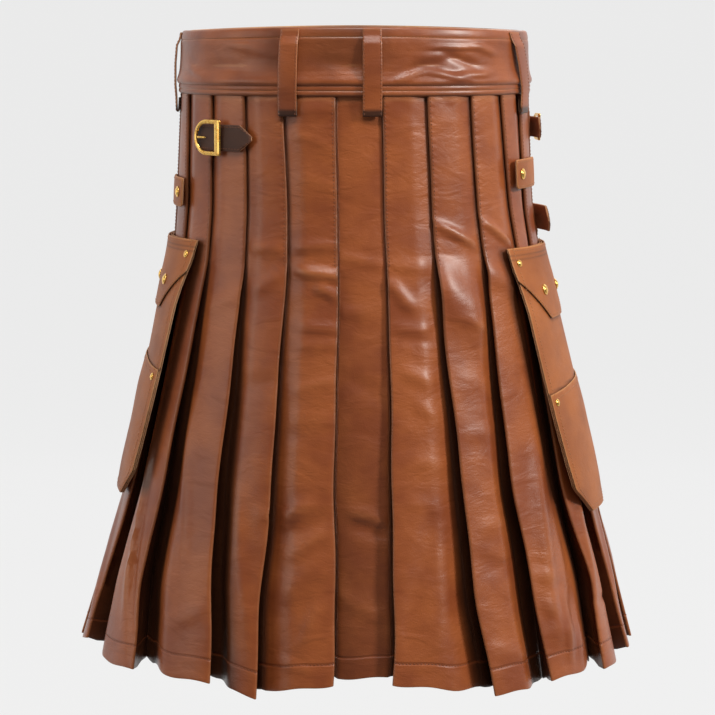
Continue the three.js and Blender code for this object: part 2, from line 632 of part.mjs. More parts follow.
function addBuckles() {
  const options = { depth: BUCKLE.thickness, bevelEnabled: false };
  const reach = BUCKLE.length / 2;
  BUCKLES.forEach(({ name, strap, angle, turn, size }) => {
    const on = STRAPS[strap];
    const outwards = outward(angle, on.z);
    const up = new THREE.Vector3(0, 0, 1);
    const along = new THREE.Vector3().crossVectors(up, outwards).multiplyScalar(turn);
    const upright = up.clone().multiplyScalar(turn);
    const frame = new THREE.Group();
    frame.quaternion.setFromRotationMatrix(new THREE.Matrix4().makeBasis(along, upright, outwards));
    frame.position.copy(seatOnStrap(on, angle, reach * size));
    frame.scale.setScalar(size);
    kilt.add(frame);
    frame.add(addPiece(name, new THREE.ExtrudeGeometry(buckleShape(), options), 'brass'));
    const circle = new THREE.Shape(roundSection(PRONG.radius, PRONG.sides));
    const start = -reach + BUCKLE.wire + SEAM_GAP;
    const path = new THREE.LineCurve3(
      new THREE.Vector3(start, 0, PRONG.radius + SEAM_GAP),
      new THREE.Vector3(start + PRONG.length, 0, PRONG.radius + SEAM_GAP),
    );
    const sweep = { steps: 1, extrudePath: path, bevelEnabled: false };
    const prongName = name.replace('buckle', 'prong');
    frame.add(addPiece(prongName, new THREE.ExtrudeGeometry(circle, sweep), 'brass'));
  });
}

function addTabs() {
  TABS.forEach((tab) => {
    addStrap(tab, 'tan');
    const middle = lerp(tab.from, tab.to, TAB_SNAP_PLACE);
    const surface = (across, down) => {
      const angle = middle + across / lengthPerDegree(middle, tab.z);
      return onGirth(angle, tab.z - down, strapOut(tab, (angle - tab.from) / (tab.to - tab.from)));
    };
    const outwards = surfaceOutward(surface, 0, 0, SURFACE_STEP);
    const foot = surface(0, 0).addScaledVector(outwards, STRAP_THICKNESS / 2 + SEAM_GAP);
    addCap(tab.name.replace('tab', 'tab_snap'), SNAP, foot, outwards);
  });
}

addSkirt();
addWaistband();
addBeltLoops();
POCKETS.forEach(addPocket);
STRAPS.forEach((strap) => addStrap(strap, 'darkStrap'));
addBuckles();
addTabs();

export default kilt;
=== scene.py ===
"""Looks of a pleated leather kilt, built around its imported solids.

Tables hold millimetres and degrees, and meshes hold metres. +X is the wearer's left, -Y is the
front and +Z is up. An angle is measured round the hip from the centre front.
"""

import logging
import math
from dataclasses import dataclass, field
from enum import Enum
from functools import partial
from typing import Callable, Sequence

import bmesh
import bpy
import numpy as np
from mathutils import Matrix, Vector


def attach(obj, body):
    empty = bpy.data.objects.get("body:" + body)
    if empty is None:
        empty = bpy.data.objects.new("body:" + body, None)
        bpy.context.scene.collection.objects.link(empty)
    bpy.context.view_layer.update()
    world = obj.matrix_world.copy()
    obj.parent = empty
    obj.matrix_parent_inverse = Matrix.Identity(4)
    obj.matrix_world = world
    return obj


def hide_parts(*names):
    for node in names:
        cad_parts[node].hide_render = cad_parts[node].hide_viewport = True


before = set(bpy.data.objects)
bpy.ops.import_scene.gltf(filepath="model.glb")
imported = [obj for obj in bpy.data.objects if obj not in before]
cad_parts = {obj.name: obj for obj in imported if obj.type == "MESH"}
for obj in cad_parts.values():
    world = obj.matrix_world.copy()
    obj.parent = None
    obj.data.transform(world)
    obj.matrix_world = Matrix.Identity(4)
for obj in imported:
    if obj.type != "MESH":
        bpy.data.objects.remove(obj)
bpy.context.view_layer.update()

Array = np.ndarray
Object, Material = bpy.types.Object, bpy.types.Material
Node, NodeTree, Socket = bpy.types.Node, bpy.types.NodeTree, bpy.types.NodeSocket
Colour = tuple[float, float, float, float]
Value = Socket | Colour | float

LOG = logging.getLogger("kilt")
MM = 0.001
BODY = "root"

LEATHER = 1.4        # thickness of the skirt and pocket leather
SEAM_GAP = 0.3       # clearance between pieces that are sewn or lie together
BAND_TOP = 32.0      # top edge of the waistband
BAND_BOTTOM = -32.0  # seam where the pleats hang from the waistband
RELEASE = -190.0     # height where the pleats are no longer stitched down
HEM = -578.0         # height of the hem before its own waves
HEM_TURNING = 22.0   # depth of the folded hem
STITCH_PITCH = 3.4   # distance from one stitch to the next
CREASE_DEPTH = 1.6   # how much deeper every crease is made than its row says


class Side(Enum):
    """Side of the wearer."""

    LEFT = "left"
    RIGHT = "right"


class Face(Enum):
    """Material places on a wall of leather."""

    GRAIN = 0
    EDGE = 1
    FLESH = 2


def linear(at: Array, xs: Sequence[float], ys: Sequence[float]) -> Array:
    """Value of a table between its rows, and along its end slopes beyond them.

    Args:
        at: Places to read.
        xs: Places of the rows, rising.
        ys: Values of the rows.

    Returns:
        The values at those places.
    """
    at = np.asarray(at, float)
    inside = np.interp(at, xs, ys)
    first = (ys[1] - ys[0]) / (xs[1] - xs[0])
    last = (ys[-1] - ys[-2]) / (xs[-1] - xs[-2])
    return inside + np.minimum(at - xs[0], 0) * first + np.maximum(at - xs[-1], 0) * last


def eased(at: Array, xs: Sequence[float], ys: Sequence[float], reach: float) -> Array:
    """Value of a table with the corners between its rows rounded over a reach.

    Args:
        at: Places to read.
        xs: Places of the rows, rising.
        ys: Values of the rows.
        reach: Distance to each side that is averaged.

    Returns:
        The values at those places.
    """
    shifts = np.linspace(-1, 1, 9)
    weights = 1 - shifts**2 * 0.9
    total = sum(w * linear(np.asarray(at) + s * reach, xs, ys) for s, w in zip(shifts, weights))
    return total / weights.sum()


def smooth(x: Array) -> Array:
    """Smooth step from 0 to 1."""
    x = np.clip(x, 0, 1)
    return x * x * (3 - 2 * x)


def soft_floor(value: Array, least: Array) -> Array:
    """The value, turned smoothly away from the least that it may have."""
    return (value + least + np.sqrt((value - least) ** 2 + 0.06)) / 2


def level(value: float) -> Callable:
    """A function that gives one value at every place.

    Args:
        value: The value.

    Returns:
        The function.
    """

    def same(place: Array, *_) -> Array:
        """The value at each place."""
        return value + 0 * place

    return same


def outward_normal(surface: Callable, at: Sequence[float], reach: Sequence[float]) -> Array:
    """Direction out of a surface at one place.

    Args:
        surface: Point of the surface at two coordinates.
        at: The two coordinates.
        reach: How far apart the points lie that the direction is read from.

    Returns:
        A direction of length 1.
    """
    (a, b), (da, db) = at, reach
    normal = np.cross(surface(a + da, b) - surface(a - da, b),
                      surface(a, b + db) - surface(a, b - db))
    normal /= np.linalg.norm(normal)
    return -normal if normal[:2] @ surface(a, b)[:2] < 0 else normal


def srgb(red: int, green: int, blue: int) -> Colour:
    """Linear colour of a screen colour given in 0 to 255."""
    parts = [c / 255 for c in (red, green, blue)]
    lin = [c / 12.92 if c <= 0.04045 else ((c + 0.055) / 1.055) ** 2.4 for c in parts]
    return (lin[0], lin[1], lin[2], 1.0)


@dataclass(frozen=True)
class Girth:
    """The oval that the kilt hangs on, wider and deeper towards the hem."""

    heights: tuple[float, ...] = (-578, -506, -435, -190, -140, -32, 32)
    half_widths: tuple[float, ...] = (267, 249.5, 233, 182, 174.2, 169, 166)
    half_depths: tuple[float, ...] = (202, 191, 180, 144, 137.5, 131, 128)
    ease: float = 16
    press_angle: float = -98
    press_reach: float = 50
    press_heights: tuple[float, ...] = (-578, -506, -435, -362, -295, -240, -208, -190, -140)
    presses: tuple[float, ...] = (0, 3, 6.5, 9, 9, 6, 5.5, 5, 0)

    def axes(self, z: Array) -> tuple[Array, Array]:
        """Half width and half depth of the oval at heights."""
        return (
            eased(z, self.heights, self.half_widths, self.ease),
            eased(z, self.heights, self.half_depths, self.ease),
        )

    def per_degree(self, angle: Array, z: Array) -> Array:
        """Length along the oval for one degree at an angle and height."""
        wide, deep = self.axes(z)
        a = np.radians(angle)
        return np.radians(1) * np.hypot(wide * np.cos(a), deep * np.sin(a))

    def outward(self, angle: Array, z: Array) -> Array:
        """Level direction out of the oval at an angle and height."""
        wide, deep = self.axes(z)
        a = np.radians(angle)
        out = np.stack([np.sin(a) / wide, -np.cos(a) / deep, np.zeros_like(a + wide)], -1)
        return out / np.linalg.norm(out, axis=-1, keepdims=True)

    def pressed(self, angle: Array, z: Array) -> Array:
        """How far the wearer's right side is pressed in at angles and heights."""
        away = np.abs((angle - self.press_angle + 180) % 360 - 180) / self.press_reach
        most = sum(np.interp(z + s, self.press_heights, self.presses) for s in (-9, 0, 9)) / 3
        return np.where(away < 1, most * np.cos(np.minimum(away, 1) * math.pi / 2) ** 2, 0)

    def point(self, angle: Array, z: Array, out: Array) -> Array:
        """Points at angles, heights and distances out from the pressed oval.

        Args:
            angle: Degrees round the hip.
            z: Heights.
            out: Distances out.

        Returns:
            An array with a last axis of x, y and z in millimetres.
        """
        angle, z, out = np.broadcast_arrays(*(np.asarray(v, float) for v in (angle, z, out)))
        wide, deep = self.axes(z)
        a = np.radians(angle)
        foot = np.stack([wide * np.sin(a), -deep * np.cos(a), z], -1)
        return foot + self.outward(angle, z) * (out - self.pressed(angle, z))[..., None]


GIRTH = Girth()


# Shader groups and finishes


class NodeDesk:
    """Short ways to place and join nodes in one tree."""

    def __init__(self, tree: NodeTree) -> None:
        """Keeps the tree that the nodes go in."""
        self.tree = tree

    def add(self, kind: str, inputs: dict | None = None, **settings) -> Node:
        """Adds a node, sets its properties, and fills or links its inputs.

        Args:
            kind: Node type.
            inputs: Values or sockets by input name or number.
            settings: Properties of the node.

        Returns:
            The node.
        """
        node = self.tree.nodes.new(kind)
        for key, value in settings.items():
            setattr(node, key, value)
        for key, value in (inputs or {}).items():
            if isinstance(value, Socket):
                self.link(value, node.inputs[key])
            else:
                node.inputs[key].default_value = value
        return node

    def link(self, start: Socket, end: Socket) -> None:
        """Joins an output to an input."""
        self.tree.links.new(start, end)

    def group(self, effect: NodeTree, **inputs) -> Node:
        """Places a shared effect with its values."""
        return self.add("ShaderNodeGroup", inputs, node_tree=effect)

    def math(self, operation: str, *values: Value) -> Socket:
        """Result of a Math node on values or sockets."""
        return self.add("ShaderNodeMath", dict(enumerate(values)), operation=operation).outputs[0]

    def noise(self, at: Value, scale: Value, detail: float, **more: float) -> Socket:
        """Value of a Noise Texture."""
        inputs = {"Vector": at, "Scale": scale, "Detail": detail, **more}
        return self.add("ShaderNodeTexNoise", inputs).outputs[0]

    def ramp(self, value: Socket, low: float, high: float) -> Socket:
        """Smooth mask that rises from 0 at low to 1 at high."""
        inputs = {"Value": value, "From Min": low, "From Max": high}
        return self.add("ShaderNodeMapRange", inputs, interpolation_type="SMOOTHSTEP").outputs[0]

    def mix(self, share: Value, first: Value, second: Value) -> Socket:
        """Colour between two colours or sockets."""
        inputs = {0: share, 6: first, 7: second}
        return self.add("ShaderNodeMix", inputs, data_type="RGBA", clamp_factor=True).outputs[2]


def new_material(name: str) -> tuple[Material, NodeDesk, Node]:
    """A new material, the desk of its tree, and its Principled shader."""
    made = bpy.data.materials.new(name)
    made.use_nodes = True
    return made, NodeDesk(made.node_tree), made.node_tree.nodes["Principled BSDF"]


def add_object(name: str, data: bpy.types.ID) -> Object:
    """A new object of the scene."""
    made = bpy.data.objects.new(name, data)
    bpy.context.scene.collection.objects.link(made)
    return made


class ShaderGroups:
    """Effects that more than one finish uses, each built once."""

    def __init__(self) -> None:
        """Builds the groups."""
        self.grain = self._grain()
        self.mottle = self._mottle()
        self.groove = self._groove()
        self.rub = self._rub()

    @staticmethod
    def _start(name: str, inputs: Sequence[tuple], outputs: Sequence[tuple]) -> tuple:
        """New group with its sockets.

        Args:
            name: Name of the group.
            inputs: Name, socket type and default value of each input.
            outputs: Name and socket type of each output.

        Returns:
            The group, its desk, its input node and its output node.
        """
        group = bpy.data.node_groups.new(name, "ShaderNodeTree")
        for label, kind, value in inputs:
            socket = group.interface.new_socket(label, in_out="INPUT", socket_type=kind)
            if value is not None:
                socket.default_value = value
        for label, kind in outputs:
            group.interface.new_socket(label, in_out="OUTPUT", socket_type=kind)
        desk = NodeDesk(group)
        return group, desk, desk.add("NodeGroupInput"), desk.add("NodeGroupOutput")

    def _grain(self) -> NodeTree:
        """Pebbled leather grain with fine pores, as a height.

        Returns:
            The group.
        """
        group, desk, given, out = self._start(
            "leather_grain",
            [("Vector", "NodeSocketVector", None), ("Scale", "NodeSocketFloat", 900.0)],
            [("Height", "NodeSocketFloat")],
        )
        at, scale = given.outputs["Vector"], given.outputs["Scale"]
        cells = desk.add("ShaderNodeTexVoronoi", {"Vector": at, "Scale": scale}, feature="F1")
        fine = desk.noise(at, scale, 2.0, Roughness=0.6)
        height = desk.math("MULTIPLY_ADD", cells.outputs["Distance"], 0.6, fine)
        desk.link(height, out.inputs["Height"])
        return group

    def _mottle(self) -> NodeTree:
        """Cloudy unevenness of a hand-rubbed dye, and soft creases that run across the cloth.

        Returns:
            The group.
        """
        group, desk, given, out = self._start(
            "dye_mottle",
            [("Vector", "NodeSocketVector", None), ("Scale", "NodeSocketFloat", 14.0)],
            [("Cloud", "NodeSocketFloat"), ("Crease", "NodeSocketFloat")],
        )
        at, scale = given.outputs["Vector"], given.outputs["Scale"]
        cloud = desk.noise(at, scale, 3.0, Roughness=0.55)
        wide = desk.add("ShaderNodeMapping", {"Vector": at, "Scale": (1.0, 2.0, 1.0)}).outputs[0]
        crease = desk.noise(wide, 26.0, 3.0, Distortion=0.6)
        small = desk.noise(wide, 110.0, 2.0, Distortion=0.9)
        patch = desk.ramp(cloud, 0.42, 0.66)
        fine = desk.math("MULTIPLY", small, desk.math("MULTIPLY_ADD", patch, 0.24, 0.05))
        both = desk.math("ADD", fine, crease)
        desk.link(cloud, out.inputs["Cloud"])
        desk.link(both, out.inputs["Crease"])
        return group

    def _groove(self) -> NodeTree:
        """Mask of a pressed line at one value of a distance.

        Returns:
            The group.
        """
        group, desk, given, out = self._start(
            "pressed_line",
            [("Distance", "NodeSocketFloat", 0.0), ("Line", "NodeSocketFloat", 0.022),
             ("Width", "NodeSocketFloat", 0.0015)],
            [("Mask", "NodeSocketFloat")],
        )
        gap = desk.math("SUBTRACT", given.outputs["Distance"], given.outputs["Line"])
        share = desk.math("DIVIDE", desk.math("ABSOLUTE", gap), given.outputs["Width"])
        mask = desk.math("SUBTRACT", 1.0, desk.ramp(share, 0.0, 1.0))
        desk.link(mask, out.inputs["Mask"])
        return group

    def _rub(self) -> NodeTree:
        """Masks of rubbed raised edges and of concave hollows, which the leathers darken as painted
        shade.

        Returns:
            The group.
        """
        group, desk, given, out = self._start(
            "edge_rub",
            [("Noise", "NodeSocketFloat", 0.5)],
            [("Raised", "NodeSocketFloat"), ("Hollow", "NodeSocketFloat")],
        )
        point = desk.add("ShaderNodeNewGeometry").outputs["Pointiness"]
        uneven = desk.math("MULTIPLY_ADD", given.outputs["Noise"], 0.03, -0.015)
        shifted = desk.math("ADD", point, uneven)
        lowered = desk.math("SUBTRACT", 1.0, shifted)
        desk.link(desk.ramp(shifted, 0.505, 0.56), out.inputs["Raised"])
        desk.link(desk.ramp(lowered, 0.505, 0.56), out.inputs["Hollow"])
        return group


@dataclass(frozen=True)
class LeatherFinish:
    """A leather: its colours, gloss and grain."""

    name: str
    tint: Colour
    light: Colour
    dark: Colour
    roughness: float
    spread: float = 0.14
    grain: float = 0.10
    crease: float = 0.85
    rubbed: float = 0.25
    pores: float = 1100.0
    pleated: bool = False
    wax: float = 0.0
    gloss: float = 0.38
    # Near-black colour that the painted shade darkens towards.
    shade_tint: Colour = (0.02, 0.008, 0.004, 1.0)

    def material(self, groups: ShaderGroups) -> Material:
        """The node material of this leather.

        Args:
            groups: Shared effects.

        Returns:
            The material.
        """
        made, desk, shader = new_material(self.name)
        uv = desk.add("ShaderNodeUVMap", uv_map="cloth").outputs[0]
        mottle = desk.group(groups.mottle, Vector=uv, Scale=16.0)
        grain = desk.group(groups.grain, Vector=uv, Scale=self.pores)
        rub = desk.group(groups.rub, Noise=mottle.outputs["Cloud"])
        cloud = desk.ramp(mottle.outputs["Cloud"], 0.32, 0.68)
        colour = desk.mix(cloud, self.dark, self.tint)
        raised = desk.math("MULTIPLY", rub.outputs["Raised"], self.rubbed)
        colour = desk.mix(raised, colour, self.light)
        # Painted shade: the leather is darkened in concave hollows.
        painted_shade = desk.math("MULTIPLY", rub.outputs["Hollow"], 0.6)
        colour = desk.mix(painted_shade, colour, self.dark)
        # Painted shade, read from a mesh attribute, darkens the colour towards a near-black under
        # folds, in pleat gaps and beside pockets, loops and seams.
        deep = desk.add("ShaderNodeAttribute", attribute_name="painted_shade").outputs["Fac"]
        colour = desk.mix(desk.math("MULTIPLY", deep, 0.87), colour, self.shade_tint)
        height = desk.math("MULTIPLY", mottle.outputs["Crease"], self.crease)
        height = desk.math("MULTIPLY_ADD", grain.outputs["Height"], self.grain, height)
        if self.pleated:
            colour, height = self._seams(desk, groups, uv, colour, height)
        bump = desk.add("ShaderNodeBump", {"Height": height, "Distance": 0.0016, "Strength": 0.75})
        rough = desk.math("MULTIPLY_ADD", mottle.outputs["Crease"], self.spread,
                          self.roughness - self.spread / 2)
        rough = desk.math("MULTIPLY_ADD", grain.outputs["Height"], 0.05, rough)
        desk.link(colour, shader.inputs["Base Color"])
        desk.link(rough, shader.inputs["Roughness"])
        desk.link(bump.outputs[0], shader.inputs["Normal"])
        shader.inputs["Specular IOR Level"].default_value = self.gloss
        shader.inputs["Coat Weight"].default_value = self.wax
        shader.inputs["Coat Roughness"].default_value = 0.3
        return made

    def _seams(self, desk: NodeDesk, groups: ShaderGroups, uv: Value, colour: Value,
               height: Value) -> tuple[Value, Value]:
        """Presses the hem's stitched line and puckers the stitched folds.

        Args:
            desk: Desk of the material's tree.
            groups: Shared effects.
            uv: Place on the cloth: across, and height above the hem.
            colour: Colour so far.
            height: Height so far.

        Returns:
            The colour and the height with the seams.
        """
        up = desk.add("ShaderNodeSeparateXYZ", {0: uv}).outputs[1]
        edge = desk.add("ShaderNodeAttribute", attribute_name="edge").outputs["Fac"]
        hem = desk.group(groups.groove, Distance=up, Line=HEM_TURNING * MM, Width=0.0022).outputs[0]
        sewn = desk.group(groups.groove, Distance=edge, Line=0.003, Width=0.0045).outputs[0]
        above = desk.ramp(up, (RELEASE - HEM - 6) * MM, (RELEASE - HEM + 14) * MM)
        wave = desk.math("SINE", desk.math("MULTIPLY", up, 2 * math.pi / (2 * STITCH_PITCH * MM)))
        pucker = desk.math("MULTIPLY", desk.math("MULTIPLY", sewn, above), wave)
        height = desk.math("MULTIPLY_ADD", pucker, 0.09, height)
        height = desk.math("MULTIPLY_ADD", hem, -0.45, height)
        return desk.mix(desk.math("MULTIPLY", hem, 0.45), colour, self.dark), height

@dataclass(frozen=True)
class MetalFinish:
    """A polished cast metal with faint wear."""

    name: str
    tint: Colour
    worn: Colour
    roughness: float

    def material(self, groups: ShaderGroups) -> Material:
        """The node material of this metal.

        Args:
            groups: Shared effects.

        Returns:
            The material.
        """
        made, desk, shader = new_material(self.name)
        at = desk.add("ShaderNodeTexCoord").outputs["Object"]
        noise = desk.noise(at, 260.0, 4.0)
        rub = desk.group(groups.rub, Noise=noise)
        colour = desk.mix(desk.ramp(noise, 0.4, 0.7), self.tint, self.worn)
        colour = desk.mix(desk.math("MULTIPLY", rub.outputs["Hollow"], 0.6), colour, self.worn)
        rough = desk.math("MULTIPLY_ADD", noise, 0.16, self.roughness - 0.08)
        bump = desk.add("ShaderNodeBump", {"Height": noise, "Distance": 0.0002, "Strength": 0.35})
        desk.link(colour, shader.inputs["Base Color"])
        desk.link(rough, shader.inputs["Roughness"])
        desk.link(bump.outputs[0], shader.inputs["Normal"])
        shader.inputs["Metallic"].default_value = 1.0
        return made


@dataclass(frozen=True)
class ThreadFinish:
    """A waxed sewing thread with its twist."""

    name: str
    tint: Colour
    dark: Colour

    def material(self) -> Material:
        """The node material of this thread.

        Returns:
            The material.
        """
        made, desk, shader = new_material(self.name)
        at = desk.add("ShaderNodeTexCoord").outputs["Object"]
        colour = desk.mix(desk.noise(at, 1800.0, 2.0), self.dark, self.tint)
        desk.link(colour, shader.inputs["Base Color"])
        shader.inputs["Roughness"].default_value = 0.6
        return made


class Finishes:
    """All materials of the kilt."""

    def __init__(self) -> None:
        """Builds every material once."""
        groups = ShaderGroups()
        self.tan = LeatherFinish(
            "tan_leather", srgb(166, 89, 43), srgb(200, 134, 86), srgb(140, 69, 34), 0.36,
            crease=1.15, pleated=True, wax=0.3,
        ).material(groups)
        self.band = LeatherFinish(
            "tan_band_leather", srgb(160, 84, 40), srgb(200, 134, 86), srgb(132, 65, 32), 0.36,
            crease=1.0, wax=0.42,
        ).material(groups)
        self.pocket = LeatherFinish(
            "light_tan_leather", srgb(174, 100, 47), srgb(206, 146, 90), srgb(150, 82, 37), 0.48,
            crease=0.7, rubbed=0.5, gloss=0.3,
        ).material(groups)
        self.strap = LeatherFinish(
            "dark_strap_leather", srgb(80, 48, 34), srgb(126, 80, 60), srgb(54, 31, 22), 0.5,
            grain=0.2, crease=0.3, rubbed=0.5,
        ).material(groups)
        self.raw = LeatherFinish(
            "raw_cut_edge", srgb(196, 146, 104), srgb(222, 184, 146), srgb(160, 104, 66), 0.8,
            grain=0.35, crease=0.2, pores=1800.0,
        ).material(groups)
        self.flesh = LeatherFinish(
            "suede_inside", srgb(168, 112, 74), srgb(190, 140, 100), srgb(140, 86, 54), 0.9,
            grain=0.4, crease=0.4, pores=700.0,
        ).material(groups)
        self.brass = MetalFinish(
            "polished_brass", srgb(255, 208, 118), srgb(232, 176, 88), 0.26
        ).material(groups)
        self.thread = ThreadFinish("tan_thread", srgb(150, 90, 58), srgb(96, 52, 32)).material()
        self.pale_thread = ThreadFinish(
            "pale_thread", srgb(196, 140, 96), srgb(140, 86, 54)
        ).material()

    def cut(self, grain: Material) -> list[Material]:
        """Grain side, raw cut edge and flesh side of a piece."""
        return [grain, self.raw, self.flesh]


# Meshes


@dataclass
class Seam:
    """A line of sewing: points on the leather and the directions out of it."""

    points: Array
    normals: Array


class Wall:
    """A closed wall of leather on a grid of middle points."""

    def __init__(self, name: str, grid: Array, thickness: Array | float,
                 place: Array, edge: Array | None = None,
                 painted_shade: Array | None = None) -> None:
        """Works out both sides of the wall.

        Args:
            name: Name of the piece.
            grid: Rows by columns of middle points, in millimetres.
            thickness: One thickness, or one for each grid point.
            place: Place on the cloth of each point, across and up, in millimetres.
            edge: Distance of each point from its fold, in millimetres.
            painted_shade: Painted shade at each point, from 0 to 1, deepest under the next fold.
        """
        self.name = name
        self.place = place
        self.edge = edge
        self.painted_shade = painted_shade
        across = np.gradient(grid, axis=1)
        up = np.gradient(grid, axis=0)
        normal = np.cross(across, up)
        normal /= np.linalg.norm(normal, axis=-1, keepdims=True) + 1e-12
        if (normal[..., :2] * grid[..., :2]).sum() < 0:
            normal = -normal
        half = np.broadcast_to(np.asarray(thickness, float) / 2, grid.shape[:2])[..., None]
        self.normal = normal
        self.outer = grid + normal * half
        self.inner = grid - normal * half

    def build(self, materials: Sequence[Material], turned: float = 0.0) -> Object:
        """Makes the object.

        Args:
            materials: Grain side, cut edge and flesh side.
            turned: Height up to which the inside shows the grain side, in millimetres.

        Returns:
            The object.
        """
        rows, columns = self.outer.shape[:2]
        count = rows * columns
        at = np.arange(count).reshape(rows, columns)
        quads = np.stack([at[:-1, :-1], at[1:, :-1], at[1:, 1:], at[:-1, 1:]], -1).reshape(-1, 4)
        rim = np.concatenate([at[:, 0], at[-1, 1:], at[-2::-1, -1], at[0, -2:0:-1]])
        after = np.roll(rim, -1)
        faces = np.concatenate([quads, quads[:, [0, 3, 2, 1]] + count,
                                np.stack([rim, rim + count, after + count, after], -1)])
        low = self.place[:-1, :-1, 1].reshape(-1) < turned
        kinds = np.concatenate([np.full(len(quads), Face.GRAIN.value),
                                np.where(low, Face.GRAIN.value, Face.FLESH.value),
                                np.full(len(rim), Face.EDGE.value)])
        points = np.concatenate([self.outer.reshape(-1, 3), self.inner.reshape(-1, 3)])
        if signed_volume(points, faces) < 0:
            faces = faces[:, ::-1]
        made = mesh_object(self.name, points, faces, materials, kinds)
        place = np.concatenate([self.place.reshape(-1, 2)] * 2)
        set_uv(made, place * MM)
        for label, values in (("edge", self.edge), ("painted_shade", self.painted_shade)):
            if values is not None:
                layer = made.data.attributes.new(label, "FLOAT", "POINT")
                both = np.concatenate([values.reshape(-1)] * 2)
                layer.data.foreach_set("value", both.astype(np.float32))
        made.data.set_sharp_from_angle(angle=math.radians(55))
        return made

    def seam(self, rows: Array, columns: Array, raised: float = 0.1) -> Seam:
        """A sewing line through fractional rows and columns of the grid.

        Args:
            rows: Row of each point.
            columns: Column of each point.
            raised: How far the line lies above the leather.

        Returns:
            The line.
        """
        rows, columns = np.broadcast_arrays(np.asarray(rows, float), np.asarray(columns, float))
        r0 = np.clip(rows.astype(int), 0, self.outer.shape[0] - 2)
        c0 = np.clip(columns.astype(int), 0, self.outer.shape[1] - 2)
        fr, fc = (rows - r0)[:, None], (columns - c0)[:, None]

        def sample(grid: Array) -> Array:
            """Value of the grid at those places."""
            top = grid[r0, c0] * (1 - fc) + grid[r0, c0 + 1] * fc
            low = grid[r0 + 1, c0] * (1 - fc) + grid[r0 + 1, c0 + 1] * fc
            return top * (1 - fr) + low * fr

        normals = sample(self.normal)
        normals /= np.linalg.norm(normals, axis=1, keepdims=True)
        return Seam(sample(self.outer) + normals * raised, normals)


def signed_volume(points: Array, faces: Array) -> float:
    """Volume inside quads, negative where they face inwards."""
    a, b, c, d = (points[faces[:, i]] for i in range(4))
    return float((a * np.cross(b, c)).sum() + (a * np.cross(c, d)).sum())


def mesh_object(name: str, points: Array, faces: Array | Sequence,
                materials: Sequence[Material],
                kinds: Array | None = None) -> Object:
    """A smooth-shaded object from points in millimetres.

    Args:
        name: Name of the piece.
        points: Corner points.
        faces: Corners of each face.
        materials: Materials by number.
        kinds: Material number of each face.

    Returns:
        The object, linked to the scene.
    """
    mesh = bpy.data.meshes.new(name)
    faces = faces.tolist() if isinstance(faces, Array) else faces
    mesh.from_pydata((np.asarray(points) * MM).tolist(), [], faces)
    for material in materials:
        mesh.materials.append(material)
    if kinds is not None:
        mesh.polygons.foreach_set("material_index", np.asarray(kinds, np.int32))
    mesh.polygons.foreach_set("use_smooth", np.ones(len(mesh.polygons), bool))
    mesh.update()
    return add_object(name, mesh)


def set_uv(made: Object, place: Array) -> None:
    """Writes the cloth map.

    Args:
        made: The piece.
        place: Place on the cloth of each of its points.
    """
    layer = made.data.uv_layers.new(name="cloth")
    corner = np.zeros(len(made.data.loops), np.int32)
    made.data.loops.foreach_get("vertex_index", corner)
    layer.data.foreach_set("uv", place[corner].astype(np.float32).ravel())


def dress(made: Object, nodes: Sequence[str]) -> Object:
    """Lets a piece ride and stand for its solids.

    Args:
        made: The piece.
        nodes: The solids that it stands for, or none.

    Returns:
        The piece.
    """
    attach(made, BODY)
    if nodes:
        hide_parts(*nodes)
    LOG.info("%s: %d faces", made.name, len(made.data.polygons))
    return made


def cut_piece(wall: Wall, materials: Sequence[Material], node: str,
              flat: tuple[float, float], turned: float = 0.0) -> None:
    """Makes and dresses a piece that is cut from leather.

    Args:
        wall: Its wall.
        materials: Grain side, cut edge and flesh side.
        node: The solid that it stands for.
        flat: Width and height of the cut laid flat, in metres; not used.
        turned: Height up to which the inside shows the grain side.
    """
    piece = dress(wall.build(materials, turned), [node])


# Geometry Nodes


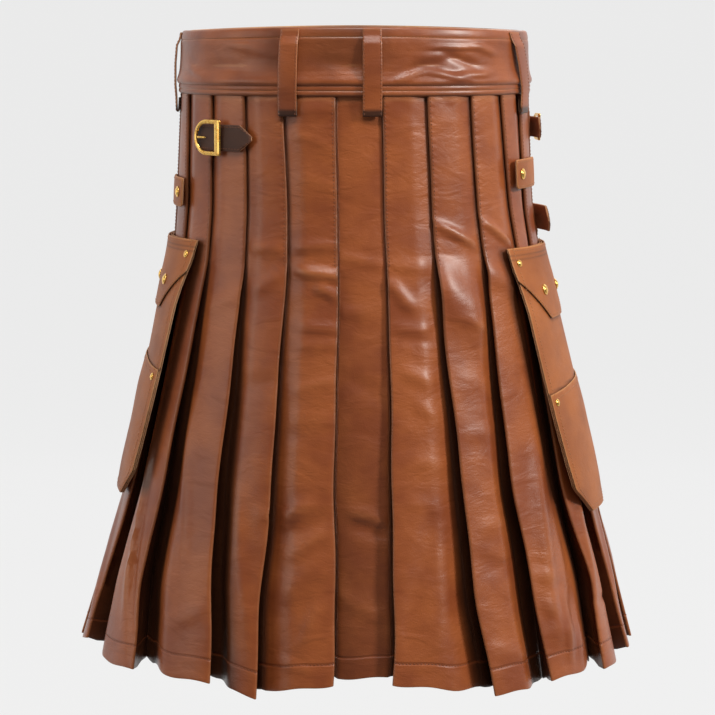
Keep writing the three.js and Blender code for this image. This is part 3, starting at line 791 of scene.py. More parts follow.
class GeometryTree:
    """A Geometry Nodes tree with named inputs, and a way to run it on a mesh."""

    def __init__(self, name: str, inputs: Sequence[tuple[str, str]]) -> None:
        """Starts the tree.

        Args:
            name: Name of the tree.
            inputs: Name and socket type of each input after the geometry.
        """
        self.tree = bpy.data.node_groups.new(name, "GeometryNodeTree")
        face = self.tree.interface
        face.new_socket("Geometry", in_out="INPUT", socket_type="NodeSocketGeometry")
        face.new_socket("Geometry", in_out="OUTPUT", socket_type="NodeSocketGeometry")
        self.keys = {
            label: face.new_socket(label, in_out="INPUT", socket_type=kind).identifier
            for label, kind in inputs
        }
        self.desk = NodeDesk(self.tree)
        self.given = self.desk.add("NodeGroupInput")
        self.out = self.desk.add("NodeGroupOutput")

    def read(self, name: str) -> Socket:
        """Directions that the points carry under a name."""
        return self.desk.add("GeometryNodeInputNamedAttribute", {"Name": name},
                             data_type="FLOAT_VECTOR").outputs[0]

    def finish(self, points: Node, piece: Node, turn: Socket, size: Socket) -> None:
        """Lays a piece on every point, as real geometry with its material.

        Args:
            points: Node that gives the points.
            piece: Node that gives the piece.
            turn: Its rotation at each point.
            size: Its size at each point.
        """
        laid = self.desk.add("GeometryNodeInstanceOnPoints", {
            "Points": points.outputs[0], "Instance": piece.outputs[0],
            "Rotation": turn, "Scale": size,
        })
        real = self.desk.add("GeometryNodeRealizeInstances", {0: laid.outputs[0]})
        dressed = self.desk.add("GeometryNodeSetMaterial", {
            "Geometry": real.outputs[0], "Material": self.given.outputs["Material"],
        })
        self.desk.link(dressed.outputs[0], self.out.inputs[0])

    def run(self, name: str, source: Object, values: dict) -> Object:
        """Runs the tree on a mesh and keeps the result as a plain mesh.

        Args:
            name: Name of the piece.
            source: Object whose mesh the tree reads; it is removed.
            values: Values of the named inputs.

        Returns:
            The finished object.
        """
        modifier = source.modifiers.new("tree", "NODES")
        modifier.node_group = self.tree
        for label, value in values.items():
            modifier[self.keys[label]] = value
        bpy.context.view_layer.update()
        seen = source.evaluated_get(bpy.context.evaluated_depsgraph_get())
        mesh = bpy.data.meshes.new_from_object(seen)
        source.modifiers.remove(modifier)
        bpy.data.objects.remove(source)
        mesh.name = name
        mesh.polygons.foreach_set("use_smooth", np.ones(len(mesh.polygons), bool))
        return add_object(name, mesh)


def carrier(name: str, points: Array, edges: Sequence, **directions: Sequence) -> Object:
    """Points and edges that carry directions for a Geometry Nodes tree.

    Args:
        name: Name of the piece that the tree makes of them.
        points: The points, in millimetres.
        edges: Numbers of the two points of each edge.
        directions: A direction for each point, by name.

    Returns:
        The object.
    """
    mesh = bpy.data.meshes.new(name)
    mesh.from_pydata((points * MM).tolist(), edges, [])
    for label, values in directions.items():
        layer = mesh.attributes.new(label, "FLOAT_VECTOR", "POINT")
        layer.data.foreach_set("vector", np.asarray(values, np.float32).ravel())
    return add_object(name + "_carrier", mesh)


class Sewing:
    """Rows of stitches laid along seams by a Geometry Nodes tree."""

    length = 2.5
    thickness = 0.75

    def __init__(self) -> None:
        """Builds the tree."""
        self.kit = GeometryTree("stitch_row", [
            ("Pitch", "NodeSocketFloat"), ("Length", "NodeSocketFloat"),
            ("Thickness", "NodeSocketFloat"), ("Material", "NodeSocketMaterial"),
        ])
        desk, given = self.kit.desk, self.kit.given
        curve = desk.add("GeometryNodeMeshToCurve", {0: given.outputs["Geometry"]})
        even = desk.add("GeometryNodeResampleCurve", mode="LENGTH")
        desk.link(curve.outputs[0], even.inputs["Curve"])
        desk.link(given.outputs["Pitch"], even.inputs["Length"])
        along = desk.add("GeometryNodeInputTangent")
        align = "FunctionNodeAlignRotationToVector"
        first = desk.add(align, {"Vector": along.outputs[0]}, axis="X")
        second = desk.add(align, {"Rotation": first.outputs[0], "Vector": self.kit.read("out")},
                          axis="Z", pivot_axis="X")
        ball = desk.add("GeometryNodeMeshUVSphere", {"Segments": 6, "Rings": 4, "Radius": 0.5})
        thick = given.outputs["Thickness"]
        size = desk.add("ShaderNodeCombineXYZ", {0: given.outputs["Length"], 1: thick, 2: thick})
        self.kit.finish(even, ball, second.outputs[0], size.outputs[0])

    def sew(self, name: str, seams: Sequence[Seam], material: Material) -> Object:
        """Lays stitches along seams.

        Args:
            name: Name of the piece.
            seams: The lines.
            material: Thread.

        Returns:
            One object with all the stitches.
        """
        edges, start = [], 0
        for s in seams:
            edges += [(start + i, start + i + 1) for i in range(len(s.points) - 1)]
            start += len(s.points)
        points = np.concatenate([s.points for s in seams])
        source = carrier(name, points, edges, out=np.concatenate([s.normals for s in seams]))
        return self.kit.run(name, source, {
            "Pitch": STITCH_PITCH * MM, "Length": self.length * MM,
            "Thickness": self.thickness * MM, "Material": material,
        })


@dataclass(frozen=True)
class Cap:
    """Place of a rivet or snap: its foot, the direction out, its radius and height."""

    foot: Array
    outward: Array
    radius: float
    height: float


class CapSetter:
    """Domed brass caps with a rolled rim, set by a Geometry Nodes tree."""

    def __init__(self) -> None:
        """Builds the tree."""
        self.kit = GeometryTree("brass_caps", [("Material", "NodeSocketMaterial")])
        desk, given = self.kit.desk, self.kit.given
        turn = desk.add("FunctionNodeAlignRotationToVector", {"Vector": self.kit.read("out")},
                        axis="Z")
        dome = desk.add("GeometryNodeMeshUVSphere", {"Segments": 28, "Rings": 18, "Radius": 0.78})
        flat = desk.add("GeometryNodeTransform", {
            "Geometry": dome.outputs[0], "Scale": (1, 1, 0.95), "Translation": (0, 0, 0.26),
        })
        circle = desk.add("GeometryNodeCurvePrimitiveCircle", {"Resolution": 28, "Radius": 0.84})
        wire = desk.add("GeometryNodeCurvePrimitiveCircle", {"Resolution": 10, "Radius": 0.16})
        rim = desk.add("GeometryNodeCurveToMesh", {
            "Curve": circle.outputs[0], "Profile Curve": wire.outputs[0],
        })
        lifted = desk.add("GeometryNodeTransform", {
            "Geometry": rim.outputs[0], "Translation": (0, 0, 0.17), "Scale": (1, 1, 1.6),
        })
        whole = desk.add("GeometryNodeJoinGeometry")
        desk.link(flat.outputs[0], whole.inputs[0])
        desk.link(lifted.outputs[0], whole.inputs[0])
        points = desk.add("GeometryNodeMeshToPoints", {0: given.outputs["Geometry"]})
        self.kit.finish(points, whole, turn.outputs[0], self.kit.read("size"))

    def place(self, name: str, caps: Sequence[Cap], material: Material) -> Object:
        """Sets caps.

        Args:
            name: Name of the piece.
            caps: Where they go.
            material: Metal.

        Returns:
            One object with all the caps.
        """
        size = np.array([(c.radius, c.radius, c.height) for c in caps]) * MM
        source = carrier(name, np.array([c.foot for c in caps]), [],
                         out=[c.outward for c in caps], size=size)
        return self.kit.run(name, source, {"Material": material})


# The pleated skirt


@dataclass(frozen=True)
class Pleat:
    """A pleat: the angle of its folded edge at five heights, and how it stands open."""

    waist: float
    release: float
    middle: float
    low: float
    hem: float
    lift: float      # how far the edge stands out at the hem
    dip: float       # how deep the panel has sunk under the next edge
    drop: float      # how far the hem hangs lower at the edge
    end_drop: float  # the same at the far end of the panel

    def edge(self, z: Array) -> Array:
        """Angle of the folded edge at heights."""
        heights = (HEM, -500, -400, RELEASE, BAND_BOTTOM)
        angles = (self.hem, self.low, self.middle, self.release, self.waist)
        return eased(z, heights, angles, 18)


@dataclass(frozen=True)
class Crease:
    """A soft ridge or trough in one panel, or in the waistband."""

    across: float    # share of the panel's width, or degrees on the waistband
    z: float
    length: float    # half its length
    width: float     # half its width
    tilt: float      # degrees that it rises, going away from the centre front
    height: float    # how far it stands out, below 0 for a trough

    def out(self, x: Array, z: Array) -> Array:
        """Distance out that this crease adds.

        Args:
            x: Distance across from the crease's own middle.
            z: Height.

        Returns:
            The distances.
        """
        t = math.radians(self.tilt)
        u = x * math.cos(t) + (z - self.z) * math.sin(t)
        v = (z - self.z) * math.cos(t) - x * math.sin(t)
        bend = v + self.width * 0.35 * np.sin(u / self.length * 2.1)
        share = (bend / self.width) ** 2
        fading = np.exp(-share) * np.exp(-((u / self.length) ** 4))
        return CREASE_DEPTH * self.height * (1 - 0.45 * share) * fading


def creases(*rows: tuple[float, ...]) -> tuple[Crease, ...]:
    """Creases from rows of their values."""
    return tuple(Crease(*row) for row in rows)


@dataclass
class Skirt:
    """The pleated skirt, in six panels that are sewn together inside the pleats.

    The panels between two folds are numbered from 0 at the centre front, and below 0 on the
    wearer's right. The creases of panel 0 are placed from its own middle.
    """

    finishes: Finishes
    left: tuple[Pleat, ...] = (
        Pleat(9, 9.8, 9.2, 8.5, 7.6, 5, 9, -5, 8),
        Pleat(24, 25.2, 26.2, 26.8, 28.4, 12, 12, 9, 10),
        Pleat(40.8, 43, 40.5, 41.8, 43, 10, 5.5, 4, 1),
        Pleat(55.5, 61, 60, 63.5, 61.5, 8.5, 12, 8, 5),
        Pleat(69.8, 72.5, 74.5, 77.5, 77, 10, 11, 0, -2),
        Pleat(86.9, 88, 89, 90, 91, 12, 11, 0, -2),
        Pleat(105, 105.5, 106, 106, 107, 12, 12, 2, -1),
        Pleat(122.5, 122.5, 122, 123, 123, 10, 12, 3, -2),
        Pleat(139.5, 139.5, 140.5, 140, 141, 11, 12, 4, 0),
        Pleat(156, 156, 155.5, 156.5, 157, 10, 11, 3, -2),
        Pleat(172, 172, 172, 171.5, 171, 8, 0, 2, 2),
    )
    right: tuple[Pleat, ...] = (
        Pleat(6.2, 5, 4.8, 4.4, 4.2, 6, 6.5, -5, 6),
        Pleat(23.6, 20.4, 20.2, 20.4, 19.4, 10, 12, 9, 0),
        Pleat(38, 34.8, 34.4, 32, 29.8, 10, 14, -1, -4),
        Pleat(53.6, 50.6, 52.2, 54.5, 50, 10, 14, -1, -4),
        Pleat(71.2, 67.5, 71.5, 75, 74, 7, 11, -12, -6),
        Pleat(88, 86.5, 88.5, 91, 91, 8, 11, -3, -5),
        Pleat(105.5, 105, 106, 107.5, 107, 9, 12, 1, -2),
        Pleat(122.5, 122.5, 123, 122.5, 123, 10, 12, 3, -2),
        Pleat(139.5, 139.5, 139, 140, 139, 10, 13, 4, -1),
        Pleat(156, 156, 156.5, 155.5, 156, 11, 11, 3, -2),
        Pleat(172, 172, 171.5, 172, 172, 8, 0, 2, 2),
    )
    creases: dict[int, tuple[Crease, ...]] = field(default_factory=lambda: {
        -10: creases(
            (0.45, -64, 22, 5, -22, 0.9), (0.45, -188, 24, 5, 12, 1.3),
            (0.4, -400, 24, 7, -12, 1.0),
        ),
        -9: creases(
            (0.5, -120, 24, 8, 16, -0.8), (0.4, -205, 24, 7, 6, 1.3), (0.45, -460, 60, 9, 82, 1.6),
        ),
        -8: creases(
            (0.45, -174, 26, 4, -10, 1.3), (0.4, -520, 24, 5, 10, 1.1),
        ),
        -7: creases(
            (0.45, -58, 22, 6, -18, 0.9), (0.5, -196, 24, 6, 8, 1.3), (0.4, -330, 24, 6, -12, 0.9),
        ),
        -6: creases(
            (0.45, -180, 24, 5, 12, 1.2), (0.4, -440, 60, 8, 84, 1.6),
        ),
        -5: creases(
            (0.35, -480, 70, 8, 80, 2.0),
        ),
        -4: creases(
            (0.34, -440, 80, 6, 84, 3.0), (0.12, -500, 70, 5, 82, -2.0),
        ),
        -3: creases(
            (0.4, -225, 24, 10, -10, 0.8), (0.3, -520, 24, 8, -12, 1.0),
            (0.55, -400, 80, 10, 82, 1.6),
        ),
        -2: creases(
            (0.5, -173, 20, 7, 12, 1.3), (0.4, -205, 24, 8, -16, 0.9),
            (0.45, -300, 26, 10, 6, -0.9), (0.06, -420, 10, 4, 4, 1.2),
            (0.45, -470, 70, 12, 84, 1.6),
        ),
        -1: creases(
            (0.3, -44, 20, 5, 6, 1.2), (0.55, -70, 26, 5, 24, 1.0), (0.45, -92, 26, 6, 22, -0.8),
            (0.4, -112, 22, 5, 20, 0.7), (0.5, -140, 24, 7, 14, -0.7),
            (0.5, -171, 30, 5.5, 3, 1.3), (0.62, -184, 24, 5.5, 6, -0.9),
            (0.35, -196, 26, 5.5, 14, 2.6), (0.18, -213, 12, 8, 50, 1.8),
            (0.55, -226, 24, 8, -6, -1.4), (0.3, -246, 20, 5, 12, 1.4), (0.3, -262, 22, 6, 6, 1.0),
            (0.45, -300, 26, 5, -8, 1.1), (0.45, -330, 24, 4, 4, 0.9),
            (0.4, -345, 26, 3, -4, -0.9), (0.62, -416, 20, 6, -20, 2.4),
            (0.5, -431, 30, 5, -22, -1.8), (0.4, -446, 22, 6, -24, 1.6),
            (0.45, -476, 26, 14, -30, 1.6), (0.3, -520, 22, 7, -60, 1.4),
            (0.55, -556, 22, 3.5, 26, 1.2),
        ),
        0: creases(
            (0.0, -184, 26, 5, -4, 0.9), (-0.3, -232, 18, 7, 10, 0.8),
            (0.1, -300, 22, 9, -12, -0.8), (0.2, -420, 20, 4.5, -10, 1.8),
            (0.3, -434, 22, 6, -8, -1.8), (-0.1, -505, 28, 8, -16, 1.0),
        ),
        1: creases(
            (0.55, -46, 17, 5, -28, -0.9), (0.45, -190, 24, 6, 4, 0.9),
            (0.22, -216, 18, 8, -34, 1.8), (0.4, -247, 18, 4, 3, 1.0),
            (0.45, -258, 20, 4, 0, -0.8), (0.45, -292, 17, 8, -8, 1.2),
            (0.6, -325, 16, 6, -22, 1.0), (0.55, -372, 22, 9, 4, 1.0),
            (0.45, -410, 20, 5, -3, 0.8), (0.3, -480, 60, 9, 78, -1.8),
            (0.55, -510, 50, 12, 86, 1.4),
        ),
        2: creases(
            (0.5, -43, 15, 5, -26, -1.0), (0.5, -163, 28, 4.2, -22, 2.4),
            (0.5, -150, 26, 5, -16, -1.4), (0.45, -180, 26, 4, 2, -1.3),
            (0.38, -226, 30, 34, 0, 4.4), (0.55, -244, 22, 5, -14, 0.7),
            (0.5, -300, 22, 12, 8, 0.5), (0.5, -345, 24, 6, 12, 0.9), (0.5, -432, 18, 5, 16, 1.1),
            (0.4, -470, 20, 9, 0, -1.0), (0.4, -545, 22, 6, -4, 1.2),
        ),
        3: creases(
            (0.45, -163, 22, 4.5, -30, 2.3), (0.4, -152, 18, 5, -26, -0.9),
            (0.28, -204, 20, 17, 6, 2.4), (0.34, -446, 84, 12, 84, 3.2),
            (0.4, -538, 24, 22, 4, 2.6), (0.66, -500, 60, 8, 80, -2.0),
            (0.22, -470, 15, 2.2, 8, -1.0), (0.22, -483, 16, 2.0, 12, 0.9),
            (0.24, -497, 18, 2.2, 8, -1.1), (0.26, -512, 18, 2.0, 14, 1.0),
            (0.26, -524, 18, 2.4, 10, -1.2), (0.4, -535, 30, 5, 88, 1.8),
        ),
        4: creases(
            (0.3, -440, 80, 9, 82, 2.8), (0.35, -520, 22, 4, 10, -1.0),
        ),
        5: creases(
            (0.4, -250, 22, 6, 12, 1.0), (0.35, -470, 60, 8, 84, 1.8),
        ),
        6: creases(
            (0.45, -62, 22, 6, -20, 0.9), (0.5, -172, 26, 4, -10, 1.3), (0.4, -208, 22, 9, 6, 1.4),
            (0.35, -450, 66, 8, 82, 1.8),
        ),
        7: creases(
            (0.45, -60, 20, 5, 22, -0.8), (0.4, -178, 24, 4, 12, 1.3), (0.5, -310, 24, 7, -8, 1.0),
            (0.35, -520, 22, 4, 10, 1.1),
        ),
        8: creases(
            (0.5, -100, 24, 7, -14, 0.8), (0.4, -196, 24, 5, 8, 1.4), (0.45, -430, 60, 9, 84, 1.7),
        ),
        9: creases(
            (0.45, -165, 26, 4, -12, 1.3), (0.5, -262, 24, 6, 10, 0.9),
            (0.4, -500, 24, 5, -12, 1.2),
        ),
        10: creases(
            (0.45, -60, 22, 6, 18, 0.9), (0.5, -205, 24, 6, -8, 1.3), (0.4, -470, 60, 9, 84, 1.6),
        ),
    })
    panel_pitch: float = 190.0
    fall_from: float = -440.0
    fold_pitch: float = 1.8
    seam_pleats: tuple[int, ...] = (2, 5, 9)
    centre_angle: float = 1.6
    centre_sink: float = 8.0
    centre_share: float = 0.75
    centre_crown: float = 1.4
    centre_drop: float = -8.0
    bulge: float = 3.0
    step_start: float = 0.55
    tuck_closed: float = 0.5
    tuck_open: float = 0.2
    tuck_centre_back: float = 0.38
    tuck_sink: float = 7.0
    opening_power: float = 0.8
    under_steps: int = 3
    fold_steps: int = 5
    face_steps: int = 18
    wander: float = 1.6
    flat_height: float = 0.548
    flat_widths: dict[str, float] = field(default_factory=lambda: {
        "skirt_front": 0.522, "skirt_front_left": 0.286, "skirt_back_left": 0.414,
        "skirt_back": 0.324, "skirt_back_right": 0.404, "skirt_front_right": 0.318,
    })
    # Share of each panel, by pleat, that the painted shade in its gap widens by as the pleats open.
    gaps_left: tuple[float, ...] = (0.13, 0.10, 0.08, 0.20, 0.3, 0.2, 0.2, 0.2, 0.2, 0.2, 0.2)
    gaps_right: tuple[float, ...] = (0.0, 0.66, 0.20, 0.34, 0.3, 0.2, 0.2, 0.2, 0.2, 0.2, 0.2)
    pocket_edges: tuple[tuple[float, float, int], ...] = ((77, -178, 1), (-80, -170, -1))
    pocket_half: float = 61
    keys: tuple[str, ...] = ("angle", "out", "drop", "x", "panel", "painted_shade")
    seams: list[Seam] = field(default_factory=list)

    def heights(self) -> Array:
        """Heights of the rows, closest together where the pleats spring open and at the hem.

        Returns:
            The heights, from the top down.
        """
        return np.concatenate([
            np.linspace(BAND_BOTTOM - SEAM_GAP, -140, 21, endpoint=False),
            np.linspace(-140, -300, 42, endpoint=False),
            np.linspace(-300, HEM + 5, 46, endpoint=False),
            HEM + np.array([5.0, 3.0, 1.4, 0.5, 0.0]),
        ])

    def opened(self, z: Array) -> Array:
        """How far the pleats have sprung open, from 0 where they are stitched to 1 at the hem."""
        share = np.clip((RELEASE - z) / (RELEASE - HEM), 0, 1)
        return share**self.opening_power

    def waver(self, panel: int, z: Array) -> Array:
        """How far the folded edge of a panel wanders sideways, in millimetres."""
        slow = np.sin(z / 41 + 2.1 * panel) + 0.6 * np.sin(z / 17.5 + 0.9 * panel)
        return slow * (0.3 + 0.9 * self.opened(z))

    def crease_out(self, panel: int, x: Array, width: Array, z: Array) -> Array:
        """Sum of the creases of one panel.

        Args:
            panel: Number of the panel.
            x: Distance from its folded edge.
            width: Width of the panel.
            z: Heights.

        Returns:
            Distance out at each point.
        """
        total = np.zeros(np.broadcast_shapes(x.shape, z.shape))
        for crease in self.creases.get(panel, ()):
            total = total + crease.out(x - crease.across * width, z)
        phase = panel * 1.7
        slow = np.sin(z / 46 + phase) * np.sin(x / 15 + phase * 0.6 + z / 170)
        return total + self.wander * 0.4 * slow * (0.25 + 0.75 * self.opened(z))

    def face_out(self, pleat: Pleat, share: Array | float, opened: Array) -> Array:
        """Distance out of a panel's face.

        Args:
            pleat: Its pleat.
            share: Share of its width, from its folded edge.
            opened: How far the pleats are open.

        Returns:
            The distances.
        """
        lift = pleat.lift * (1 - share) ** 1.5
        bulge = self.bulge * np.sin(np.pi * share**0.8)
        sink = smooth((share - self.step_start) / (1 - self.step_start))
        return opened * (lift + bulge) - sink * (2 * self.fold_pitch + opened * pleat.dip)

    def half(self, pleats: Sequence[Pleat], way: int, z: Array) -> dict:
        """Columns of one half of the skirt, from the centre front to the centre back.

        Args:
            pleats: The pleats of that side.
            way: 1 on the wearer's left, -1 on the right.
            z: Heights of the rows.

        Returns:
            Arrays by name with a column for each place: angle, out, drop, x (distance from the
            fold), panel and painted_shade (painted shade from 0 to 1); the columns that follow a
            seam;
            and the faces' columns.
        """
        opened = self.opened(z)
        columns: list[tuple] = []
        spans: list[tuple[int, int]] = []
        seams: list[int] = []

        # The last value of a column is its painted shade: full on the layers tucked under a fold,
        # partial on the fold itself, and rising towards each panel's sunk end.
        def put(angle: Array, out: Array, drop: float, x: float, panel: float,
                painted_shade: Array | float = 1.0) -> None:
            """Adds a column."""
            values = (angle, out, drop, x, panel, painted_shade)
            columns.append(tuple(np.broadcast_to(v, z.shape) for v in values))

        sunk = -2 * self.fold_pitch - opened * self.centre_sink
        sunk_drop = self.centre_drop
        gap_shade = self.gaps_left if way > 0 else self.gaps_right
        edges = [p.edge(z) + self.waver(way * (k + 1), z) / GIRTH.per_degree(p.release, z)
                 for k, p in enumerate(pleats)]
        for k, pleat in enumerate(pleats):
            edge = edges[k]
            last = k == len(pleats) - 1
            following = 360 - edge if last else edges[k + 1]
            width = following - edge
            per = GIRTH.per_degree(edge, z)
            wide_mm = width * per
            closed = self.tuck_centre_back if last else self.tuck_closed
            tuck = width * (closed + (self.tuck_open - closed) * opened)
            deep = sunk - opened * self.tuck_sink
            at_fold = self.crease_out(way * (k + 1), np.zeros_like(z), wide_mm, z)
            at_fold = np.maximum(at_fold, -0.2 - 3 * opened)
            top = opened * pleat.lift + at_fold
            radius = self.fold_pitch / 2
            for i in range(self.under_steps):
                t = i / self.under_steps
                put(edge + tuck * t, sunk + (deep - sunk) * t, sunk_drop, 40 + t * 20, k + 0.5)
            if k in self.seam_pleats:
                put(edge + tuck, deep, sunk_drop, 60, k + 0.5)
                seams.append(len(columns))
                put(edge + tuck, deep + 2 * radius, sunk_drop, -60, k + 1)
            else:
                for i in range(self.fold_steps):
                    turn = math.pi * i / (self.fold_steps - 1)
                    side = radius * math.sin(turn) / per
                    put(edge + tuck + side, deep + radius * (1 - math.cos(turn)), sunk_drop,
                        60 if turn < 1.6 else -60, k + 0.5 if turn < 1.6 else k + 1)
            for i in range(1, self.under_steps):
                t = i / self.under_steps
                put(edge + tuck * (1 - t) + t * radius / per,
                    (deep + 2 * radius) * (1 - t) + (top - 2 * radius) * t,
                    sunk_drop + (pleat.drop - sunk_drop) * t, -60 * (1 - t) - 3, k + 1,
                    1 - 0.4 * t**3)
            for i in range(self.fold_steps):
                turn = math.pi * i / (self.fold_steps - 1)
                put(edge + (radius - radius * math.sin(turn)) / per,
                    top - radius - radius * math.cos(turn), pleat.drop, -2 + i * 0.6, k + 1,
                    0.75 - (0.35 + 0.4 * opened) * i / (self.fold_steps - 1))
            shares = np.linspace(0, 1, self.face_steps + 2)[1:-1] ** 1.15
            shares = shares * 0.5 if last else shares
            start = len(columns)
            for share in shares:
                x = share * wide_mm
                inside = 1 - smooth((share - 0.72) / 0.24) if not last else 1.0
                crease = self.crease_out(way * (k + 1), x, wide_mm, z) * inside
                near = smooth(x / 6)
                crease = crease * near + at_fold * (1 - near)
                crease = soft_floor(crease, -0.3 - 2.5 * opened)
                if last:
                    face = opened * (pleat.lift + self.bulge * share)
                else:
                    face = self.face_out(pleat, share, opened)
                drop = pleat.drop + (pleat.end_drop - pleat.drop) * share
                # Painted shade near the panel's sunk end under the next fold, widening for each
                # pleat as it opens.
                shade = 0.0 if last else smooth(
                    (share - 0.90 + gap_shade[k] * opened) / (0.07 + 0.6 * gap_shade[k] * opened))
                put(edge + width * share, face + crease, drop, x, k + 1, shade)
            spans.append((start - 1, len(columns) - 1))
            sunk = self.face_out(pleat, 1.0, opened)
            sunk_drop = pleat.end_drop
        arrays = {n: np.stack([c[i] for c in columns], 1) for i, n in enumerate(self.keys)}
        arrays["angle"] = arrays["angle"] * way
        return {**arrays, "seams": seams, "spans": spans}

    def centre(self, z: Array, left: dict, right: dict, count: int = 14) -> dict:
        """Columns of the set-back panel between the two first folds.

        Args:
            z: Heights of the rows.
            left: Columns of the left half.
            right: Columns of the right half.
            count: Number of columns.

        Returns:
            Arrays by name, as for a half.
        """
        opened = self.opened(z)[:, None]
        t = np.linspace(-1, 1, count + 2)[1:-1][None, :]
        low, high = right["angle"][:, :1], left["angle"][:, :1]
        angle = np.where(t < 0, self.centre_angle + (self.centre_angle - low) * t,
                         self.centre_angle + (high - self.centre_angle) * t)
        side = -2 * self.fold_pitch - opened * self.centre_sink
        middle = (self.centre_crown - 2 * self.fold_pitch
                  - opened * self.centre_sink * self.centre_share)
        per = GIRTH.per_degree(0.0, z)[:, None]
        x = (angle - self.centre_angle) * per
        half = (high - self.centre_angle) * per
        crease = self.crease_out(0, x, half, z[:, None]) * (1 - smooth((np.abs(t) - 0.7) / 0.3))
        out = side + (middle - side) * (1 - t**2) + crease
        drop = np.full_like(angle, self.centre_drop)
        # Painted shade at both sides, where the panel sinks under the first folds, and over the
        # whole panel as the pleats open.
        painted_shade = smooth((np.abs(t) - 0.90 + 0.14 * opened) / (0.07 + 0.1 * opened))
        painted_shade = np.maximum(painted_shade, 0.36 * opened)
        return {"angle": angle, "out": out, "drop": drop, "x": x + 30,
                "panel": np.zeros_like(angle), "painted_shade": painted_shade}

    def beside_pockets(self, angle: Array, z: Array) -> Array:
        """Shade on the skirt just in front of the pockets, from 0 to 1.

        Args:
            angle: Degrees round the hip.
            z: Heights.

        Returns:
            The shade at each point.
        """
        shade = np.zeros(np.broadcast_shapes(angle.shape, z.shape))
        for middle, top, facing in self.pocket_edges:
            per = GIRTH.per_degree(middle, z)
            ahead = ((middle - angle + 180) % 360 - 180) * facing * per - self.pocket_half
            within = smooth((top + 4 - z) / 8) * smooth((z - top + 250) / 14)
            near = smooth((ahead + 8) / 4) * (1 - smooth((ahead - 4) / 9))
            shade = np.maximum(shade, 0.9 * near * within)
        return shade

    def wall(self, name: str, z: Array, parts: Sequence[dict]) -> Wall:
        """Joins columns into one wall.

        Args:
            name: Name of the piece.
            z: Heights of the rows.
            parts: Groups of columns in order.

        Returns:
            The wall.
        """
        joined = {k: np.concatenate([p[k] for p in parts], 1) for k in self.keys}
        rows = z[:, None]
        weight = np.clip((self.fall_from - rows) / (self.fall_from - HEM), 0, 1) ** 2
        bow = 1.2 * np.sin(joined["x"] / 9 + joined["panel"]) * weight
        grid = GIRTH.point(joined["angle"], rows, joined["out"])
        grid[..., 2] -= joined["drop"] * weight + bow
        place = np.stack([joined["x"] + self.panel_pitch * joined["panel"],
                          np.broadcast_to(rows - HEM, joined["x"].shape)], -1)
        # Painted shade under the folds and in the pleat gaps, and painted shadow on the skirt just
        # in front of each pocket.
        painted_shade = np.maximum(joined["painted_shade"], self.beside_pockets(joined["angle"], rows))
        ends = np.interp(z - HEM, [0, 0.5, 1.4, 3], [0.45, 0.8, 0.96, 1])[:, None] * LEATHER
        ends = np.broadcast_to(ends, joined["x"].shape)
        edge = np.where(joined["x"] < 0, 200, joined["x"]) * MM
        return Wall(name, grid, ends, place, edge, painted_shade)

    def sew_wall(self, wall: Wall, columns: Sequence[tuple[int, int]], z: Array) -> None:
        """Adds the hem line and the stitched folds of each panel.

        Args:
            wall: Wall that the lines lie on.
            columns: First and last column of each panel's face, the folded edge first.
            z: Heights of the rows.
        """
        hem_row = np.interp(-(HEM + HEM_TURNING), -z, np.arange(len(z)))
        for first, last in columns:
            line = np.linspace(first, last + (first - last) * 0.12, 24)
            self.seams.append(wall.seam(np.full(24, hem_row), line, 0.05))
            rows = np.interp(np.linspace(34, -RELEASE - 2, 60), -z, np.arange(len(z)))
            step = 1 if last > first else -1
            self.seams.append(wall.seam(rows, np.full(60, first + step * 1.2), 0.05))

    def build(self) -> None:
        """Builds the six panels and notes their sewing."""
        z = self.heights()
        left, right = self.half(self.left, 1, z), self.half(self.right, -1, z)
        turned = {**right, "angle": right["angle"] + 360}
        first, second, third = range(3)

        def part(side: dict, start: int | None, stop: int | None) -> dict:
            """Columns of one side between two of its seams, and the faces among them.

            Args:
                side: Left or right half.
                start: Seam that they start at, or none.
                stop: Seam that they end at, or none.

            Returns:
                Arrays by name, as for a half.
            """
            low = 0 if start is None else side["seams"][start]
            high = side["angle"].shape[1] if stop is None else side["seams"][stop]
            cut = {k: side[k][:, low:high] for k in self.keys}
            spans = [(a - low, b - low) for a, b in side["spans"] if low <= a < high]
            return {**cut, "spans": spans}

        def back_to_front(cut: dict) -> dict:
            """The same columns in the other order."""
            end = cut["angle"].shape[1] - 1
            return {**{k: cut[k][:, ::-1] for k in self.keys},
                    "spans": [(end - a, end - b) for a, b in cut["spans"]]}

        centre = {**self.centre(z, left, right), "spans": []}
        panels = {
            "skirt_front": [back_to_front(part(right, None, first)), centre,
                            part(left, None, first)],
            "skirt_front_left": [part(left, first, second)],
            "skirt_back_left": [part(left, second, third)],
            "skirt_back": [part(left, third, None), back_to_front(part(turned, third, None))],
            "skirt_back_right": [back_to_front(part(turned, second, third))],
            "skirt_front_right": [back_to_front(part(right, first, second))],
        }
        materials = [self.finishes.tan, self.finishes.tan, self.finishes.flesh]
        for node, parts in panels.items():
            wall = self.wall("kilt_" + node, z, parts)
            start = 0
            for cut in parts:
                self.sew_wall(wall, [(start + a, start + b) for a, b in cut["spans"]], z)
                start += cut["angle"].shape[1]
            cut_piece(wall, materials, node,
                      (self.flat_widths[node], self.flat_height),
                      HEM_TURNING)


# The waistband and its loops


